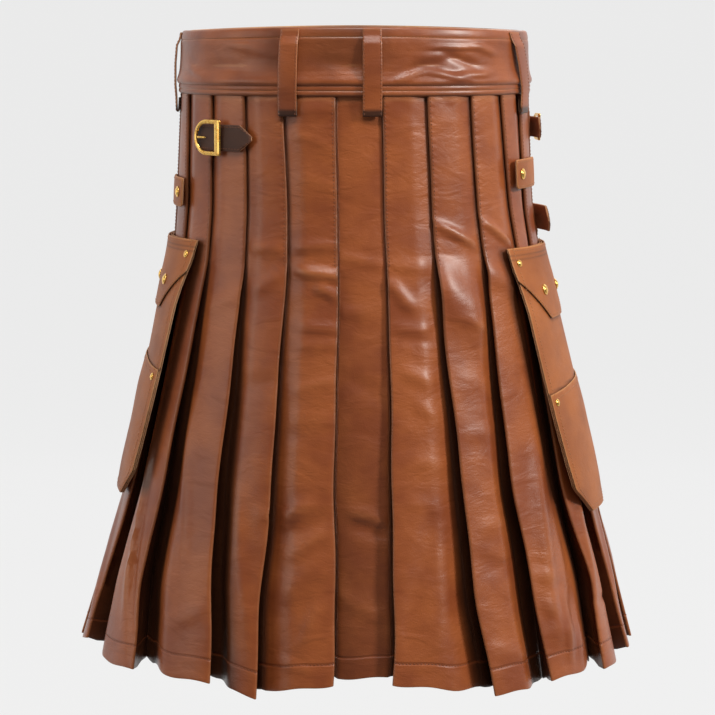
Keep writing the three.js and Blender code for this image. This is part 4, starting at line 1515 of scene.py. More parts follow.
@dataclass
class Waistband:
    """The waistband: two lengths that lap at the hips, barrel-faced, with a corded lower edge."""

    finishes: Finishes
    flat: tuple[float, float] = (0.540, 0.066)
    thickness: float = 2.8
    dip: float = 4.5
    front_end: float = 96
    back_start: float = 84
    sink: float = 3.1
    ramp: float = 7
    step: float = 1.5
    profile: tuple[tuple[float, float], ...] = (
        (-32, -0.7), (-31.4, 0.6), (-30, 1.5), (-28.4, 1.4), (-27, 0.6), (-25.6, 1.7), (-23.6, 1.6),
        (-21.8, 0.7), (-20.8, 2.7), (-19.2, 3.6), (-17.4, 3.4), (-13.6, 2.3), (-9, 1.4), (-3, 1.0),
        (3, 0.9), (10, 1.0), (18, 1.4), (21.4, 1.3), (22.8, 0.45), (24, 1.1), (27, 0.9), (30, 0.3),
        (31.4, -0.2), (32, -1.0),
    )
    creases: tuple[Crease, ...] = creases(
        (18.5, -12, 18, 4, 30, 1.2), (22, -5, 20, 5, 20, -0.8), (31, -13, 22, 4, -6, 1.1),
        (41, -12, 20, 4, 8, 1.1), (36, 2, 20, 5, -10, -1.0), (33, 14, 26, 3, 4, 0.8),
        (47, 12, 14, 4, -6, 0.9), (26, 6, 16, 5, 14, 0.7), (-4, -2, 22, 8, 4, -0.8),
        (-33, 12, 30, 7, -4, 0.7), (-45, -4, 24, 8, 12, -0.8), (-62, -10, 20, 5, -10, 0.9),
        (110, -10, 24, 5, 8, 1.0), (150, -6, 26, 6, -8, 0.9), (196, -12, 24, 5, 8, 1.0),
        (222, 6, 26, 6, 10, -0.8), (250, -10, 22, 5, -10, 0.9),
    )
    # Angle, reach and depth of each spot of painted shade on the band: beside the belt loops and
    # between the front loops.
    shade_spots: tuple[tuple[float, float, float], ...] = (
        (-7, 9, 0.42), (-26.5, 3.5, 0.3), (1.5, 3, 0.3), (9.5, 2.5, 0.25), (70, 5, 0.35),
        (-84, 6, 0.35), (128, 9, 0.25), (180, 9, 0.25), (232, 9, 0.25),
    )
    seams: list[Seam] = field(default_factory=list)

    def lowered(self, angle: Array, z: Array) -> Array:
        """Height after the top edge's dip at the hips."""
        share = np.maximum(0, np.asarray(z, float) - BAND_BOTTOM) / (BAND_TOP - BAND_BOTTOM)
        return z - self.dip * np.sin(np.radians(angle)) ** 2 * share

    def length(self, name: str, start: float, stop: float, out_at: Callable) -> Wall:
        """One length of the band.

        Args:
            name: Name of the piece.
            start: Angle where it starts.
            stop: Angle where it ends.
            out_at: Extra distance out at each angle.

        Returns:
            The wall.
        """
        columns = int((stop - start) / self.step) + 1
        angle = np.linspace(start, stop, columns)[None, :]
        heights = np.array([row[0] for row in self.profile])
        fine = np.unique(np.concatenate([heights, np.linspace(BAND_BOTTOM, BAND_TOP, 52)]))
        rows = fine[:, None]
        out = eased(rows, heights, [row[1] for row in self.profile], 0.5)
        crease = np.zeros_like(rows * angle)
        for c in self.creases:
            x = (angle - c.across) * GIRTH.per_degree(angle, 0.0)
            crease = crease + c.out(x, rows)
        between = smooth((rows + 21) / 4) * smooth((21 - rows) / 4)
        slow = 0.35 * np.sin(angle / 7.3) * np.sin(rows / 11 + angle / 19)
        out = out + (crease + slow) * between + out_at(angle)
        grid = GIRTH.point(angle, self.lowered(angle, rows), out)
        girth = angle * GIRTH.per_degree(0.0, 0.0)
        place = np.stack(np.broadcast_arrays(girth, rows + 400), -1)
        ends = np.interp(fine, [-32, -31.2, -30, 30, 31.2, 32], [0.45, 0.8, 1, 1, 0.8, 0.45])
        # Painted shade: spots beside the belt loops and between the front loops, the bottom edge
        # and the lower stitched groove.
        band_shade = np.zeros_like(crease)
        for at, reach, depth in self.shade_spots:
            away = ((angle - at + 180) % 360 - 180) / reach
            band_shade += depth * np.exp(-(away**2)) * smooth((rows + 14) / 16)
        groove = np.exp(-(((rows + 32) / 1.6) ** 2)) + 0.5 * np.exp(-(((rows + 21.8) / 1.1) ** 2))
        wall = Wall(name, grid, ends[:, None] * self.thickness * np.ones_like(crease), place,
                    painted_shade=np.clip(band_shade + 0.6 * groove, 0, 1))
        for z in (22.8, -27.0):
            row = np.interp(z, fine, np.arange(len(fine)))
            line = np.linspace(1, columns - 2, columns * 2)
            self.seams.append(wall.seam(np.full(len(line), row), line, 0.05))
        return wall

    def build(self) -> None:
        """Builds both lengths."""

        def sunk(angle: Array) -> Array:
            """How far the back length lies under the front one near its ends."""
            from_end = np.minimum(angle - self.back_start, 360 - self.back_start - angle)
            lapped = self.front_end - self.back_start + 2
            return -self.sink * (1 - smooth((from_end - lapped) / self.ramp))

        for node, start, stop, out_at in (
            ("waistband_front", -self.front_end, self.front_end, level(0.0)),
            ("waistband_back", self.back_start, 360 - self.back_start, sunk),
        ):
            wall = self.length("kilt_" + node, start, stop, out_at)
            cut_piece(wall, self.finishes.cut(self.finishes.band), node,
                      self.flat)


@dataclass(frozen=True)
class Loop:
    """A belt loop's place round the waist, and how far its top leans from there."""

    name: str
    angle: float
    lean: float = 0.0


@dataclass
class BeltLoops:
    """Strips sewn to the waistband, each with its lower end folded under."""

    finishes: Finishes
    band: Waistband
    width: float = 17.5
    thickness: float = 1.6
    path: tuple[tuple[float, float], ...] = (
        (30.5, 2.7), (24, 3.6), (17, 6.4), (-2, 7.1), (-24, 6.4), (-36, 5.0), (-48.2, 4.15),
        (-49.6, 3.9), (-50.0, 3.0), (-49.6, 2.2), (-48.2, 1.95), (-37, 1.85),
    )
    loops: tuple[Loop, ...] = (
        Loop("belt_loop_front_left", 5.6),
        Loop("belt_loop_front_right", -21.2, 0.4),
        Loop("belt_loop_side_left", 70.5, -6),
        Loop("belt_loop_side_right", -88),
        Loop("belt_loop_back_left", 128),
        Loop("belt_loop_back_centre", 180),
        Loop("belt_loop_back_right", 232),
    )
    seams: list[Seam] = field(default_factory=list)

    def build(self) -> None:
        """Builds every loop."""
        path = np.array(self.path)
        run = np.concatenate([[0], np.cumsum(np.hypot(*np.diff(path, axis=0).T))])
        fine = np.unique(np.concatenate([np.linspace(0, run[-1], 64), run]))
        z = eased(fine, run, path[:, 0], 0.9)
        out = eased(fine, run, path[:, 1], 0.9)
        sides = np.array([-1, -0.96, -0.86, -0.6, -0.2, 0.2, 0.6, 0.86, 0.96, 1])
        thin = np.array([0.45, 0.8, 1, 1, 1, 1, 1, 1, 0.8, 0.45])
        for number, loop in enumerate(self.loops):
            reach = self.width / 2 / GIRTH.per_degree(loop.angle, 0.0)
            turn = loop.lean * np.maximum(0, z - BAND_BOTTOM) / (BAND_TOP - BAND_BOTTOM)
            angle = loop.angle + turn[:, None] + sides[None, :] * reach
            height = self.band.lowered(loop.angle, z)[:, None]
            crown = 0.25 * (1 - sides**2)[None, :] * np.sin(np.pi * fine / run[-1])[:, None]
            grid = GIRTH.point(angle, height, out[:, None] + crown)
            place = np.stack(np.broadcast_arrays(sides[None, :] * self.width / 2 + 60 * number,
                                                 fine[:, None] + 700), -1)
            shade = smooth((fine - run[6] + 6) / 4)[:, None] * np.ones_like(angle)
            thickness = self.thickness * thin[None, :] * np.ones_like(angle)
            wall = Wall("kilt_" + loop.name, grid, thickness, place, painted_shade=shade)
            last = np.interp(run[6], fine, np.arange(len(fine)))
            for column in (2.0, 7.0):
                rows = np.linspace(1.5, last, 50)
                self.seams.append(wall.seam(rows, np.full(50, column), 0.02))
            cut_piece(wall, [self.finishes.band, self.finishes.raw, self.finishes.band],
                      loop.name, (self.width * MM, 0.100))


# Cargo pockets


@dataclass(frozen=True)
class PocketPlace:
    """Where a pocket hangs, and how it stands off the hip."""

    side: Side
    angle: float
    top: float
    facing: int
    lean: float      # share of its height that is vertical
    swing: float     # how much farther out its bottom edge hangs than its top
    flatten: float   # how much less it curves than the hip, at its front edge
    raised: float    # how much higher its pouch starts


@dataclass
class Pockets:
    """Flat pockets that hang from their top edge at each hip: back, front, pouch and flap."""

    finishes: Finishes
    setter: CapSetter
    height: float = 260
    hug: float = 0.15
    first_out: float = 2.4
    fullness: float = 1.7
    layer: float = 1.75
    outline: tuple[tuple[float, float, float, float], ...] = (
        (0, 61, 0, 0), (20, 62, 0.28, 0.5), (40, 62, 0.72, 1), (62, 62, 1, 1), (125, 62, 1, 1),
        (165, 61, 1, 1), (205, 58, 1, 1), (233, 54, 1, 0.6), (260, 24, 1, 0),
    )
    flap_half: float = 64
    flap_side: float = 30
    flap_bottom: float = 70
    chamfer_to: float = 0.36
    flap_over: float = 0.5
    pouch_front: float = 140
    pouch_back: float = 128
    pouch_slack: float = 1.4
    slack_within: float = 40
    rivet: tuple[float, float] = (3.6, 1.9)
    snap: tuple[float, float] = (5.4, 2.6)
    places: tuple[PocketPlace, ...] = (
        PocketPlace(Side.LEFT, 77, -178, 1, 0.99, 8.5, 10, 0),
        PocketPlace(Side.RIGHT, -80, -170, -1, 0.96, 6.5, 12, 12),
    )
    seam_points: int = 60
    seam_inset: float = 3.4
    seams: list[Seam] = field(default_factory=list)

    def column(self, v: Array, index: int) -> Array:
        """A column of the outline at distances down, with its corners rounded."""
        rows = np.array(self.outline)
        reach = 0.5 if index == 1 else 7.0
        return eased(np.clip(v, 0, self.height), rows[:, 0], rows[:, index], reach)

    def point(self, at: PocketPlace, u: Array, v: Array, layer_out: Array) -> Array:
        """Points of a pocket.

        Args:
            at: The pocket.
            u: Distance across, towards the back of the hip.
            v: Distance down from the top edge.
            layer_out: Distance out from the back panel.

        Returns:
            The points.
        """
        z = at.top - v * at.lean
        angle = at.angle + at.facing * u / GIRTH.per_degree(at.angle, z)
        bend = at.flatten * np.where(u > 0, self.hug, 1) * (u / self.flap_half) ** 2
        flat = bend * self.column(v, 2)
        return GIRTH.point(angle, z, self.first_out + at.swing * v / self.height + flat + layer_out)

    def against(self, u: Array, v: Array) -> Array:
        """The back panel, which the others are measured from."""
        return 0 * u

    def full(self, u: Array, v: Array) -> Array:
        """How far the front panel stands out from the back panel.

        Args:
            u: Distance across.
            v: Distance down.

        Returns:
            The distances.
        """
        across = np.maximum(0, 1 - (u / self.column(v, 1)) ** 4)
        soft = 0.35 * np.sin(v / 19 + u / 31) * np.sin(u / 24 + 1.3)
        soft = soft * smooth((self.height - v) / 40) * smooth(v / 40)
        return self.layer + (self.fullness + soft) * across * self.column(v, 3)

    def pouch_out(self, at: PocketPlace, u: Array, v: Array) -> Array:
        """Middle of the pouch panel."""
        slack = (self.full(u, v) - self.layer) / self.fullness
        below = smooth((v - self.pouch_back + at.raised) / self.slack_within)
        return self.full(u, v) + self.layer + self.pouch_slack * slack * below

    def flap_out(self, u: Array, v: Array) -> Array:
        """Middle of the flap."""
        return self.full(u, v) + self.layer + self.flap_over

    def flap_edge(self, share: Array) -> Array:
        """Distance down of the flap's lower edge at a share across."""
        beyond = np.maximum(0, np.abs(share) - self.chamfer_to) / (1 - self.chamfer_to)
        return self.flap_bottom + (self.flap_side - self.flap_bottom) * beyond

    def pouch_edge(self, at: PocketPlace, share: Array) -> Array:
        """Distance down of the pouch's upper edge at a share across."""
        rise = self.pouch_back - self.pouch_front
        return self.pouch_front - at.raised + rise * (share + 1) / 2

    def front_shade(self, at: PocketPlace, u: Array, v: Array) -> Array:
        """Shade on the front panel under the flap's edge and along the pouch's edge.

        Args:
            at: The pocket.
            u: Distance across.
            v: Distance down.

        Returns:
            The shade, from 0 to 1.
        """
        below = v - self.flap_edge(u / self.flap_half)
        above = self.pouch_edge(at, u / self.column(v, 1)) - v
        under_flap = 0.9 * (1 - smooth(below / 4)) * smooth((below + 6) / 3)
        return np.maximum(under_flap, 0.8 * (1 - smooth(above / 2.6)) * smooth((above + 3) / 2))

    def flap_shade(self, u: Array, v: Array) -> Array:
        """Shade in the two pressed lines along the flap's top."""
        lines = np.exp(-(((v - 6.5) / 0.9) ** 2)) + np.exp(-(((v - 10.5) / 0.9) ** 2))
        return 0.5 * lines + 0 * u

    def panel(self, name: str, at: PocketPlace, top: Callable, bottom: Callable, half: Callable,
              out: Callable, shade: Callable | None = None, rows: int = 56,
              columns: int = 33) -> Wall:
        """A panel between two curved edges.

        Args:
            name: Name of the piece.
            at: The pocket.
            top: Distance down of its top edge at each share across.
            bottom: The same of its bottom edge.
            half: Half its width at distances down.
            out: Distance out at u and v.
            shade: How deep in shade it lies at u and v.
            rows: Rows of the grid.
            columns: Columns of the grid.

        Returns:
            The wall.
        """
        share = np.concatenate([[-1, -0.99], np.linspace(-0.97, 0.97, columns - 4), [0.99, 1]])
        t = np.concatenate([[0, 0.006], np.linspace(0.016, 0.984, rows - 4), [0.994, 1]])
        v = top(share)[None, :] + (bottom(share) - top(share))[None, :] * t[:, None]
        u = share[None, :] * half(v)
        grid = self.point(at, u, v, out(u, v))
        thin = np.minimum(np.interp(np.abs(share), [0.97, 0.99, 1], [1, 0.85, 0.55])[None, :],
                          np.interp(np.abs(2 * t - 1), [0.968, 0.988, 1], [1, 0.85, 0.55])[:, None])
        place = np.stack([u + 200 * (2 + at.facing), self.height - v + 900], -1)
        return Wall(name, grid, LEATHER * thin, place, painted_shade=shade(u, v) if shade else None)

    def build(self) -> None:
        """Builds both pockets."""
        materials = self.finishes.cut(self.finishes.pocket)
        whole = partial(self.column, index=1)
        for at in self.places:
            side = at.side.value
            for node, flat, sewn, sizes in (
                ("pocket_back", (0.124, 0.260), False,
                 dict(top=level(0.0), bottom=level(self.height), half=whole, out=self.against)),
                ("pocket_front", (0.124, 0.260), True,
                 dict(top=level(0.0), bottom=level(self.height), half=whole, out=self.full,
                      shade=partial(self.front_shade, at), rows=90)),
                ("pocket_pouch", (0.124, 0.132), True,
                 dict(top=partial(self.pouch_edge, at), bottom=level(self.height - 0.5),
                      half=whole, out=partial(self.pouch_out, at))),
                ("pocket_flap", (0.128, 0.070), True,
                 dict(top=level(0.0), bottom=self.flap_edge, half=level(self.flap_half),
                      out=self.flap_out, shade=self.flap_shade)),
            ):
                wall = self.panel(f"kilt_{node}_{side}", at, **sizes)
                if sewn:
                    self.sew(wall)
                cut_piece(wall, materials, f"{node}_{side}", flat)
            self.caps(at)

    def sew(self, wall: Wall) -> None:
        """Sews round the sides and bottom of a panel, and across its top.

        Args:
            wall: The panel.
        """
        rows, columns = wall.outer.shape[:2]
        count = self.seam_points
        down = np.linspace(0.02, 0.98, count) * (rows - 1)
        across = np.linspace(3.0, columns - 4.0, count)
        for r, c in (
            (down, np.full(count, 3.0)), (down, np.full(count, columns - 4.0)),
            (np.full(count, rows - 1 - self.seam_inset), across),
            (np.full(count, self.seam_inset), across),
        ):
            self.seams.append(wall.seam(r, c, 0.02))

    def caps(self, at: PocketPlace) -> None:
        """Sets the rivets and snaps of one pocket.

        Args:
            at: The pocket.
        """
        caps, nodes = [], []
        pouch_out = partial(self.pouch_out, at)
        pouch_top = 8 - at.raised
        for node, size, u, v, out in (
            ("flap_rivet_front", self.rivet, -55, 14, self.flap_out),
            ("flap_rivet_back", self.rivet, 55, 14, self.flap_out),
            ("flap_snap_front", self.snap, -25, 42, self.flap_out),
            ("flap_snap_back", self.snap, 25, 42, self.flap_out),
            ("pouch_rivet_front", self.rivet, -54, self.pouch_front + pouch_top, pouch_out),
            ("pouch_rivet_back", self.rivet, 54, self.pouch_back + pouch_top, pouch_out),
        ):
            def surface(a: float, b: float) -> Array:
                """Point of the panel."""
                return self.point(at, a, b, out(a, b))

            normal = outward_normal(surface, (u, v), (4, 4))
            caps.append(Cap(surface(u, v) + normal * (LEATHER / 2), normal, *size))
            nodes.append(f"{node}_{at.side.value}")
        made = self.setter.place(f"kilt_pocket_caps_{at.side.value}", caps, self.finishes.brass)
        dress(made, nodes)


# Hip straps, tabs and buckles


@dataclass(frozen=True)
class Strap:
    """A strip round the hip at one height, with a point at its far end."""

    name: str
    under: str       # the panel of the skirt that it is sewn to
    z: float
    height: float
    start: float
    stop: float
    rise: float
    fall: float
    tip: float = 0.0

    def out(self, share: Array) -> Array:
        """Distance out of the middle line at a share of the length."""
        return self.rise + (self.fall - self.rise) * smooth(share) * share

    def length(self) -> float:
        """Length along the hip."""
        per = float(GIRTH.per_degree((self.start + self.stop) / 2, self.z))
        return abs(self.stop - self.start) * per


@dataclass
class HipStraps:
    """Dark straps with buckles and tan tabs with snaps, at both hips."""

    finishes: Finishes
    setter: CapSetter
    thickness: float = 2.4
    point_share: float = 0.16
    straps: tuple[Strap, ...] = (
        Strap("strap_right_front", "skirt_front", -72, 25, -60, -33.5, 2.4, 3.6, 13),
        Strap("strap_left_upper", "skirt_back_left", -66, 20, 116, 85, 2.4, 11, 4),
        Strap("strap_left_lower", "skirt_back_left", -155, 25, 118, 82, 2.4, 15, 11),
    )
    tabs: tuple[Strap, ...] = (
        Strap("tab_left", "skirt_front_left", -108, 28, 84, 59.5, 2.4, 7),
        Strap("tab_right", "skirt_front_right", -126, 28, -92, -66, 2.4, 7),
    )
    snap: tuple[float, float] = (5.4, 2.6)
    snap_place: float = 0.82
    dark_seams: list[Seam] = field(default_factory=list)
    seams: list[Seam] = field(default_factory=list)

    def strip(self, strap: Strap, number: int) -> Wall:
        """The wall of one strap.

        Args:
            strap: The strap.
            number: Its place among the straps, so that no two show the same grain.

        Returns:
            The wall.
        """
        length = strap.length()
        corner = 1 - strap.tip / length if strap.tip else 1.0
        share = np.unique(np.concatenate([[0, 0.01], np.linspace(0.02, corner - 0.01, 40),
                                          [corner, 0.985 if not strap.tip else corner + 0.02],
                                          np.linspace(corner, 1, 9) if strap.tip else [1.0]]))
        side = np.array([-1, -0.97, -0.9, -0.6, -0.2, 0.2, 0.6, 0.9, 0.97, 1])
        thin = np.array([0.5, 0.85, 1, 1, 1, 1, 1, 1, 0.85, 0.5])
        if strap.tip:
            half = np.interp(share, [0, corner, 1], [1, 1, self.point_share])
        else:
            half = np.interp(share, [0, 0.95, 0.985, 1], [1, 1, 0.93, 0.8])
        angle = strap.start + (strap.stop - strap.start) * share
        z = strap.z + side[None, :] * strap.height / 2 * half[:, None]
        crown = 0.3 * (1 - side**2)[None, :]
        grid = GIRTH.point(angle[:, None], z, strap.out(share)[:, None] + crown)
        run = share * length
        ends = np.minimum(np.interp(run, [0, 0.8], [0.5, 1]),
                          np.interp(length - run, [0, 0.8], [0.5, 1]))
        place = np.stack(np.broadcast_arrays(run[:, None] + 90 * number, z + 1500), -1)
        thickness = self.thickness * thin[None, :] * ends[:, None]
        return Wall("kilt_" + strap.name, grid, thickness, place)

    def build(self) -> None:
        """Builds the straps, tabs and snaps."""
        for number, strap in enumerate((*self.straps, *self.tabs)):
            dark = strap in self.straps
            wall = self.strip(strap, number)
            rows = wall.outer.shape[0]
            lines = self.dark_seams if dark else self.seams
            for column in (2.3, 6.7):
                lines.append(wall.seam(np.linspace(2, rows - 4, 50), np.full(50, column), 0.02))
            main = self.finishes.strap if dark else self.finishes.pocket
            cut_piece(wall, self.finishes.cut(main),
                      strap.name,
                      (strap.length() * MM, strap.height * MM))
        for tab in self.tabs:
            self.tab_snap(tab)

    def tab_snap(self, tab: Strap) -> None:
        """Sets the snap near a tab's far end.

        Args:
            tab: The tab.
        """

        def surface(share: float, z: float) -> Array:
            """Point of the tab."""
            angle = tab.start + (tab.stop - tab.start) * share
            return GIRTH.point(angle, z, tab.out(share) + 0.3)

        at = (self.snap_place, tab.z)
        normal = outward_normal(surface, at, (0.04, 4))
        cap = Cap(surface(*at) + normal * self.thickness / 2, normal, *self.snap)
        name = tab.name.replace("tab", "tab_snap")
        dress(self.setter.place("kilt_" + name, [cap], self.finishes.brass), [name])


@dataclass(frozen=True)
class BucklePlace:
    """Where a buckle sits: its strap, angle, direction and scale."""

    node: str
    strap: int
    angle: float
    turn: int
    size: float


@dataclass
class Buckles:
    """Cast brass D buckles: a round wire bow, a wide domed bar and a tapered prong."""

    finishes: Finishes
    straps: HipStraps
    length: float = 37
    height: float = 34
    wire: float = 4.0
    bar: float = 8.5
    thickness: float = 2.6
    prong_length: float = 12
    prong_radius: float = 1.2
    places: tuple[BucklePlace, ...] = (
        BucklePlace("buckle_right", 0, -52.3, 1, 1.0),
        BucklePlace("buckle_left", 1, 97, -1, 0.78),
    )

    def sweep(self, path: Array, wide: Array, thick: Array, sides: int = 16) -> tuple[Array, list]:
        """A closed tube of oval section along a flat path.

        Args:
            path: Points of the path, x and y, and height z.
            wide: Width of the section in the plane at each point.
            thick: Its thickness out of the plane.
            sides: Corners of the section.

        Returns:
            Points and faces.
        """
        way = np.gradient(path, axis=0)
        way /= np.linalg.norm(way, axis=1, keepdims=True)
        across = np.stack([way[:, 1], -way[:, 0], 0 * way[:, 0]], 1)
        up = np.array([0, 0, 1.0])
        turn = np.linspace(0, 2 * np.pi, sides, endpoint=False)
        power = 0.8
        cos = np.sign(np.cos(turn)) * np.abs(np.cos(turn)) ** power
        sin = np.sign(np.sin(turn)) * np.abs(np.sin(turn)) ** power
        rings = (path[:, None, :]
                 + across[:, None, :] * (cos[None, :, None] * wide[:, None, None] / 2)
                 + up * (sin[None, :, None] * thick[:, None, None] / 2))
        count = len(path)
        points = np.concatenate([rings.reshape(-1, 3), path[:1], path[-1:]])
        faces = []
        for i in range(count - 1):
            for j in range(sides):
                a, b = i * sides + j, i * sides + (j + 1) % sides
                faces.append((a, b, b + sides, a + sides))
        first, last = count * sides, count * sides + 1
        faces += [(first, (j + 1) % sides, j) for j in range(sides)]
        base = (count - 1) * sides
        faces += [(last, base + j, base + (j + 1) % sides) for j in range(sides)]
        return points, faces

    def pieces(self) -> dict[str, tuple[Array, list]]:
        """Builds the buckle and its prong in the buckle's own frame.

        Returns:
            Points and faces of each, by name.
        """
        half = self.height / 2
        ring = half - self.wire / 2
        centre = -self.length / 2 + half
        end = self.length / 2 - self.bar / 2
        z = self.thickness / 2
        turn = np.linspace(math.pi / 2, 3 * math.pi / 2, 40)
        straight = np.linspace(end, centre, 8, endpoint=False)
        path = np.concatenate([
            np.stack([straight, np.full(8, ring), np.full(8, z)], 1),
            np.stack([centre + ring * np.cos(turn), ring * np.sin(turn), np.full(40, z)], 1),
            np.stack([straight[::-1], np.full(8, -ring), np.full(8, z)], 1),
        ])
        wire = self.sweep(path, np.full(len(path), self.wire), np.full(len(path), self.thickness))
        y = np.concatenate([[-half, -half + 0.25, -half + 0.8],
                            np.linspace(-half + 2, half - 2, 24), [half - 0.8, half - 0.25, half]])
        taper = np.interp(half - np.abs(y), [0, 0.25, 0.8, 2], [0.55, 0.85, 0.97, 1])
        bar = self.sweep(np.stack([np.full(len(y), end), y, np.full(len(y), z)], 1),
                         self.bar * taper, (self.thickness + 0.5) * taper, 24)
        count = len(wire[0])
        body = (np.concatenate([wire[0], bar[0]]),
                wire[1] + [tuple(i + count for i in f) for f in bar[1]])
        start = -self.length / 2 + self.wire + SEAM_GAP
        t = np.linspace(0, 1, 16)
        path = np.stack([start + self.prong_length * t, 0 * t,
                         self.prong_radius + SEAM_GAP + 0.5 * np.sin(np.pi * t)], 1)
        thin = np.interp(t, [0, 0.05, 0.8, 0.95, 1], [0.7, 1, 0.8, 0.6, 0.3])
        thin = 2 * self.prong_radius * thin
        return {"buckle": body, "prong": self.sweep(path, thin, thin, 12)}

    def seat(self, place: BucklePlace) -> tuple[Array, Array]:
        """Seats a buckle on its strap.

        Args:
            place: Where it sits.

        Returns:
            Rows of the buckle's axes, and its foot on the strap.
        """
        strap = self.straps.straps[place.strap]
        out = GIRTH.outward(place.angle, strap.z)
        reach = self.length / 2 * place.size
        spread = reach / float(GIRTH.per_degree(place.angle, strap.z))
        highest = -1e9
        for at in np.linspace(place.angle - spread, place.angle + spread, 9):
            share = np.clip((at - strap.start) / (strap.stop - strap.start), 0, 1)
            for row in (-1, 0, 1):
                lift = strap.out(share) + self.straps.thickness / 2 + (0.3 if row == 0 else 0)
                p = GIRTH.point(at, strap.z + row * strap.height / 2, lift)
                highest = max(highest, float(p @ out))
        foot = GIRTH.point(place.angle, strap.z, 0.0)
        foot = foot + out * (highest + 0.1 - float(foot @ out))
        along = np.cross([0, 0, 1.0], out) * place.turn
        return np.stack([along, [0, 0, float(place.turn)], out]), foot

    def build(self) -> None:
        """Builds the buckles and their prongs."""
        for place in self.places:
            axes, foot = self.seat(place)
            for kind, (points, faces) in self.pieces().items():
                node = place.node.replace("buckle", kind)
                world = (points * place.size) @ axes + foot
                piece = mesh_object("kilt_" + node, world, faces, [self.finishes.brass])
                outward_faces(piece)
                dress(piece, [node])


def outward_faces(made: Object) -> None:
    """Turns the faces of each closed part of a mesh outwards.

    Args:
        made: The piece.
    """
    work = bmesh.new()
    work.from_mesh(made.data)
    bmesh.ops.recalc_face_normals(work, faces=work.faces)
    work.to_mesh(made.data)
    work.free()


# Camera, floor and light


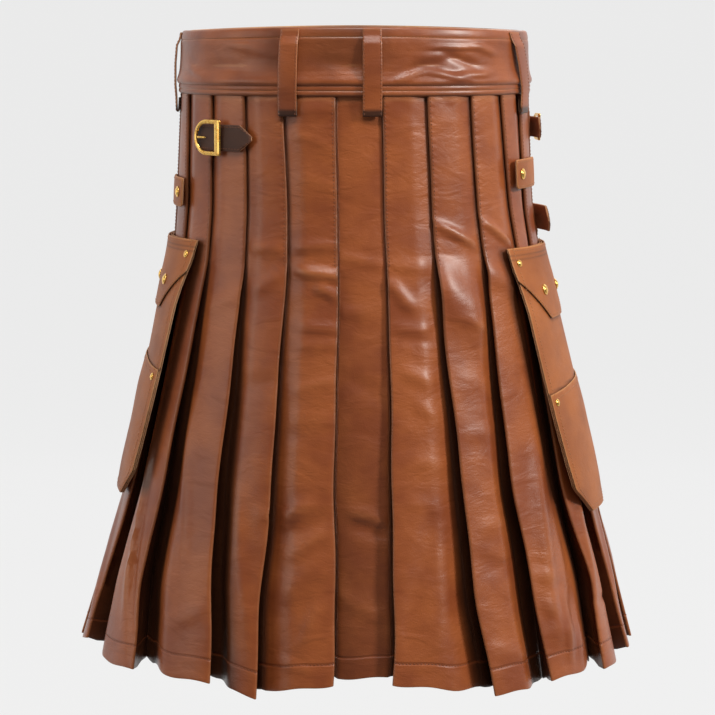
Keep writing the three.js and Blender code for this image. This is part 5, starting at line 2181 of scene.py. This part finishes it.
@dataclass(frozen=True)
class Studio:
    """The photograph's camera, a pale floor that sweeps up, and soft lamps."""

    camera_at: tuple[float, float, float] = (0.00295, -2.5, 0.045)
    pitch: float = 7.724
    lens: float = 127.94
    floor_z: float = -1.05
    wall_y: float = 3.6
    sweep: float = 1.6
    floor_sides: int = 96

    def camera(self) -> None:
        """Places the camera."""
        data = bpy.data.cameras.new("camera")
        data.lens = self.lens
        data.sensor_width = 36
        data.clip_end = 50
        eye = add_object("camera", data)
        eye.location = self.camera_at
        eye.rotation_euler = (math.radians(90 - self.pitch), 0, 0)
        bpy.context.scene.camera = eye

    def floor(self) -> None:
        """A round pale floor whose rim sweeps up behind and around."""
        radii = np.concatenate([[0.0], np.linspace(0.6, self.wall_y, 8)])
        turn = np.linspace(0, math.pi / 2, 14)[1:]
        rise = np.linspace(1.0, 7.0, 4)
        r = np.concatenate([radii, self.wall_y + self.sweep * np.sin(turn),
                            np.full(4, self.wall_y + self.sweep)])
        z = np.concatenate([0 * radii, self.sweep * (1 - np.cos(turn)), self.sweep + rise])
        count = self.floor_sides
        around = np.linspace(0, 2 * math.pi, count + 1)[:-1]
        points = np.stack([np.outer(r, np.cos(around)), np.outer(r, np.sin(around)),
                           np.outer(z, np.ones(count))], -1).reshape(-1, 3)
        points[:, 2] += self.floor_z
        faces = [(i * count + j, i * count + (j + 1) % count,
                  (i + 1) * count + (j + 1) % count, (i + 1) * count + j)
                 for i in range(len(r) - 1) for j in range(count)]
        made, desk, shader = new_material("pale_floor")
        at = desk.add("ShaderNodeTexCoord").outputs["Object"]
        y = desk.add("ShaderNodeSeparateXYZ", {0: at}).outputs[1]
        lit = desk.math("MULTIPLY_ADD", desk.ramp(y, -1.0, 1.6), 0.70, 0.09)
        seen = desk.add("ShaderNodeLightPath").outputs["Is Camera Ray"]
        glow = desk.add("ShaderNodeMix", {0: seen, 2: lit, 3: 0.78}, data_type="FLOAT")
        desk.link(glow.outputs[0], shader.inputs["Emission Strength"])
        shader.inputs["Base Color"].default_value = (0.05, 0.05, 0.05, 1)
        shader.inputs["Roughness"].default_value = 0.9
        shader.inputs["Emission Color"].default_value = (1, 1, 1, 1)
        floor = mesh_object("floor", points / MM, faces, [made])

    def lamp(self, name: str, at: tuple, aim: tuple, size: tuple, power: float,
             tint: tuple) -> None:
        """One soft rectangular lamp.

        Args:
            name: Name of the lamp.
            at: Where it hangs.
            aim: The point that it faces.
            size: Its width and height.
            power: Its power.
            tint: Its colour.
        """
        data = bpy.data.lights.new(name, "AREA")
        data.shape = "RECTANGLE"
        data.size, data.size_y = size
        data.energy = power
        data.color = tint
        made = add_object(name, data)
        made.location = at
        made.rotation_euler = (Vector(aim) - Vector(at)).to_track_quat("-Z", "Y").to_euler()

    def light(self) -> None:
        """Key from the upper right, a weaker fill from the left, and a pale surround."""
        self.lamp("key", (2.4, -1.3, 1.1), (0, 0, -0.25), (0.5, 0.6), 56, (1, 0.98, 0.94))
        self.lamp("overhead", (0.2, -1.7, 2.3), (0, 0, -0.35), (1.8, 0.7), 50, (1, 0.99, 0.97))
        self.lamp("fill", (-2.6, -1.1, 0.4), (0, 0, -0.3), (1.6, 1.8), 17, (1, 0.93, 0.84))
        self.lamp("back", (0.6, 2.4, 1.6), (0, 0, -0.2), (1.8, 1.2), 18, (1, 1, 1))
        world = bpy.data.worlds.new("surround")
        world.use_nodes = True
        world.node_tree.nodes["Background"].inputs[0].default_value = (1, 1, 1, 1)
        world.node_tree.nodes["Background"].inputs[1].default_value = 0.28
        bpy.context.scene.world = world
        bpy.context.scene.view_settings.view_transform = "Standard"


def main() -> None:
    """Builds the kilt and its studio."""
    logging.basicConfig(level=logging.INFO, format="%(name)s %(message)s")
    studio = Studio()
    studio.camera()
    finishes = Finishes()
    setter = CapSetter()
    sewing = Sewing()
    skirt = Skirt(finishes)
    band = Waistband(finishes)
    loops = BeltLoops(finishes, band)
    pockets = Pockets(finishes, setter)
    straps = HipStraps(finishes, setter)
    for part in (skirt, band, loops, pockets, straps, Buckles(finishes, straps)):
        part.build()
    for name, seams, thread, slot in (
        ("stitches_skirt", skirt.seams, finishes.thread, "leather_tan"),
        ("stitches_band", band.seams + loops.seams, finishes.thread, "leather_tan"),
        ("stitches_pockets", pockets.seams + straps.seams, finishes.pale_thread, "leather_light"),
        ("stitches_straps", straps.dark_seams, finishes.thread, "leather_dark"),
    ):
        dress(sewing.sew(name, seams, thread), [])
    studio.floor()
    studio.light()
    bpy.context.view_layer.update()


if __name__ == "__main__":
    main()
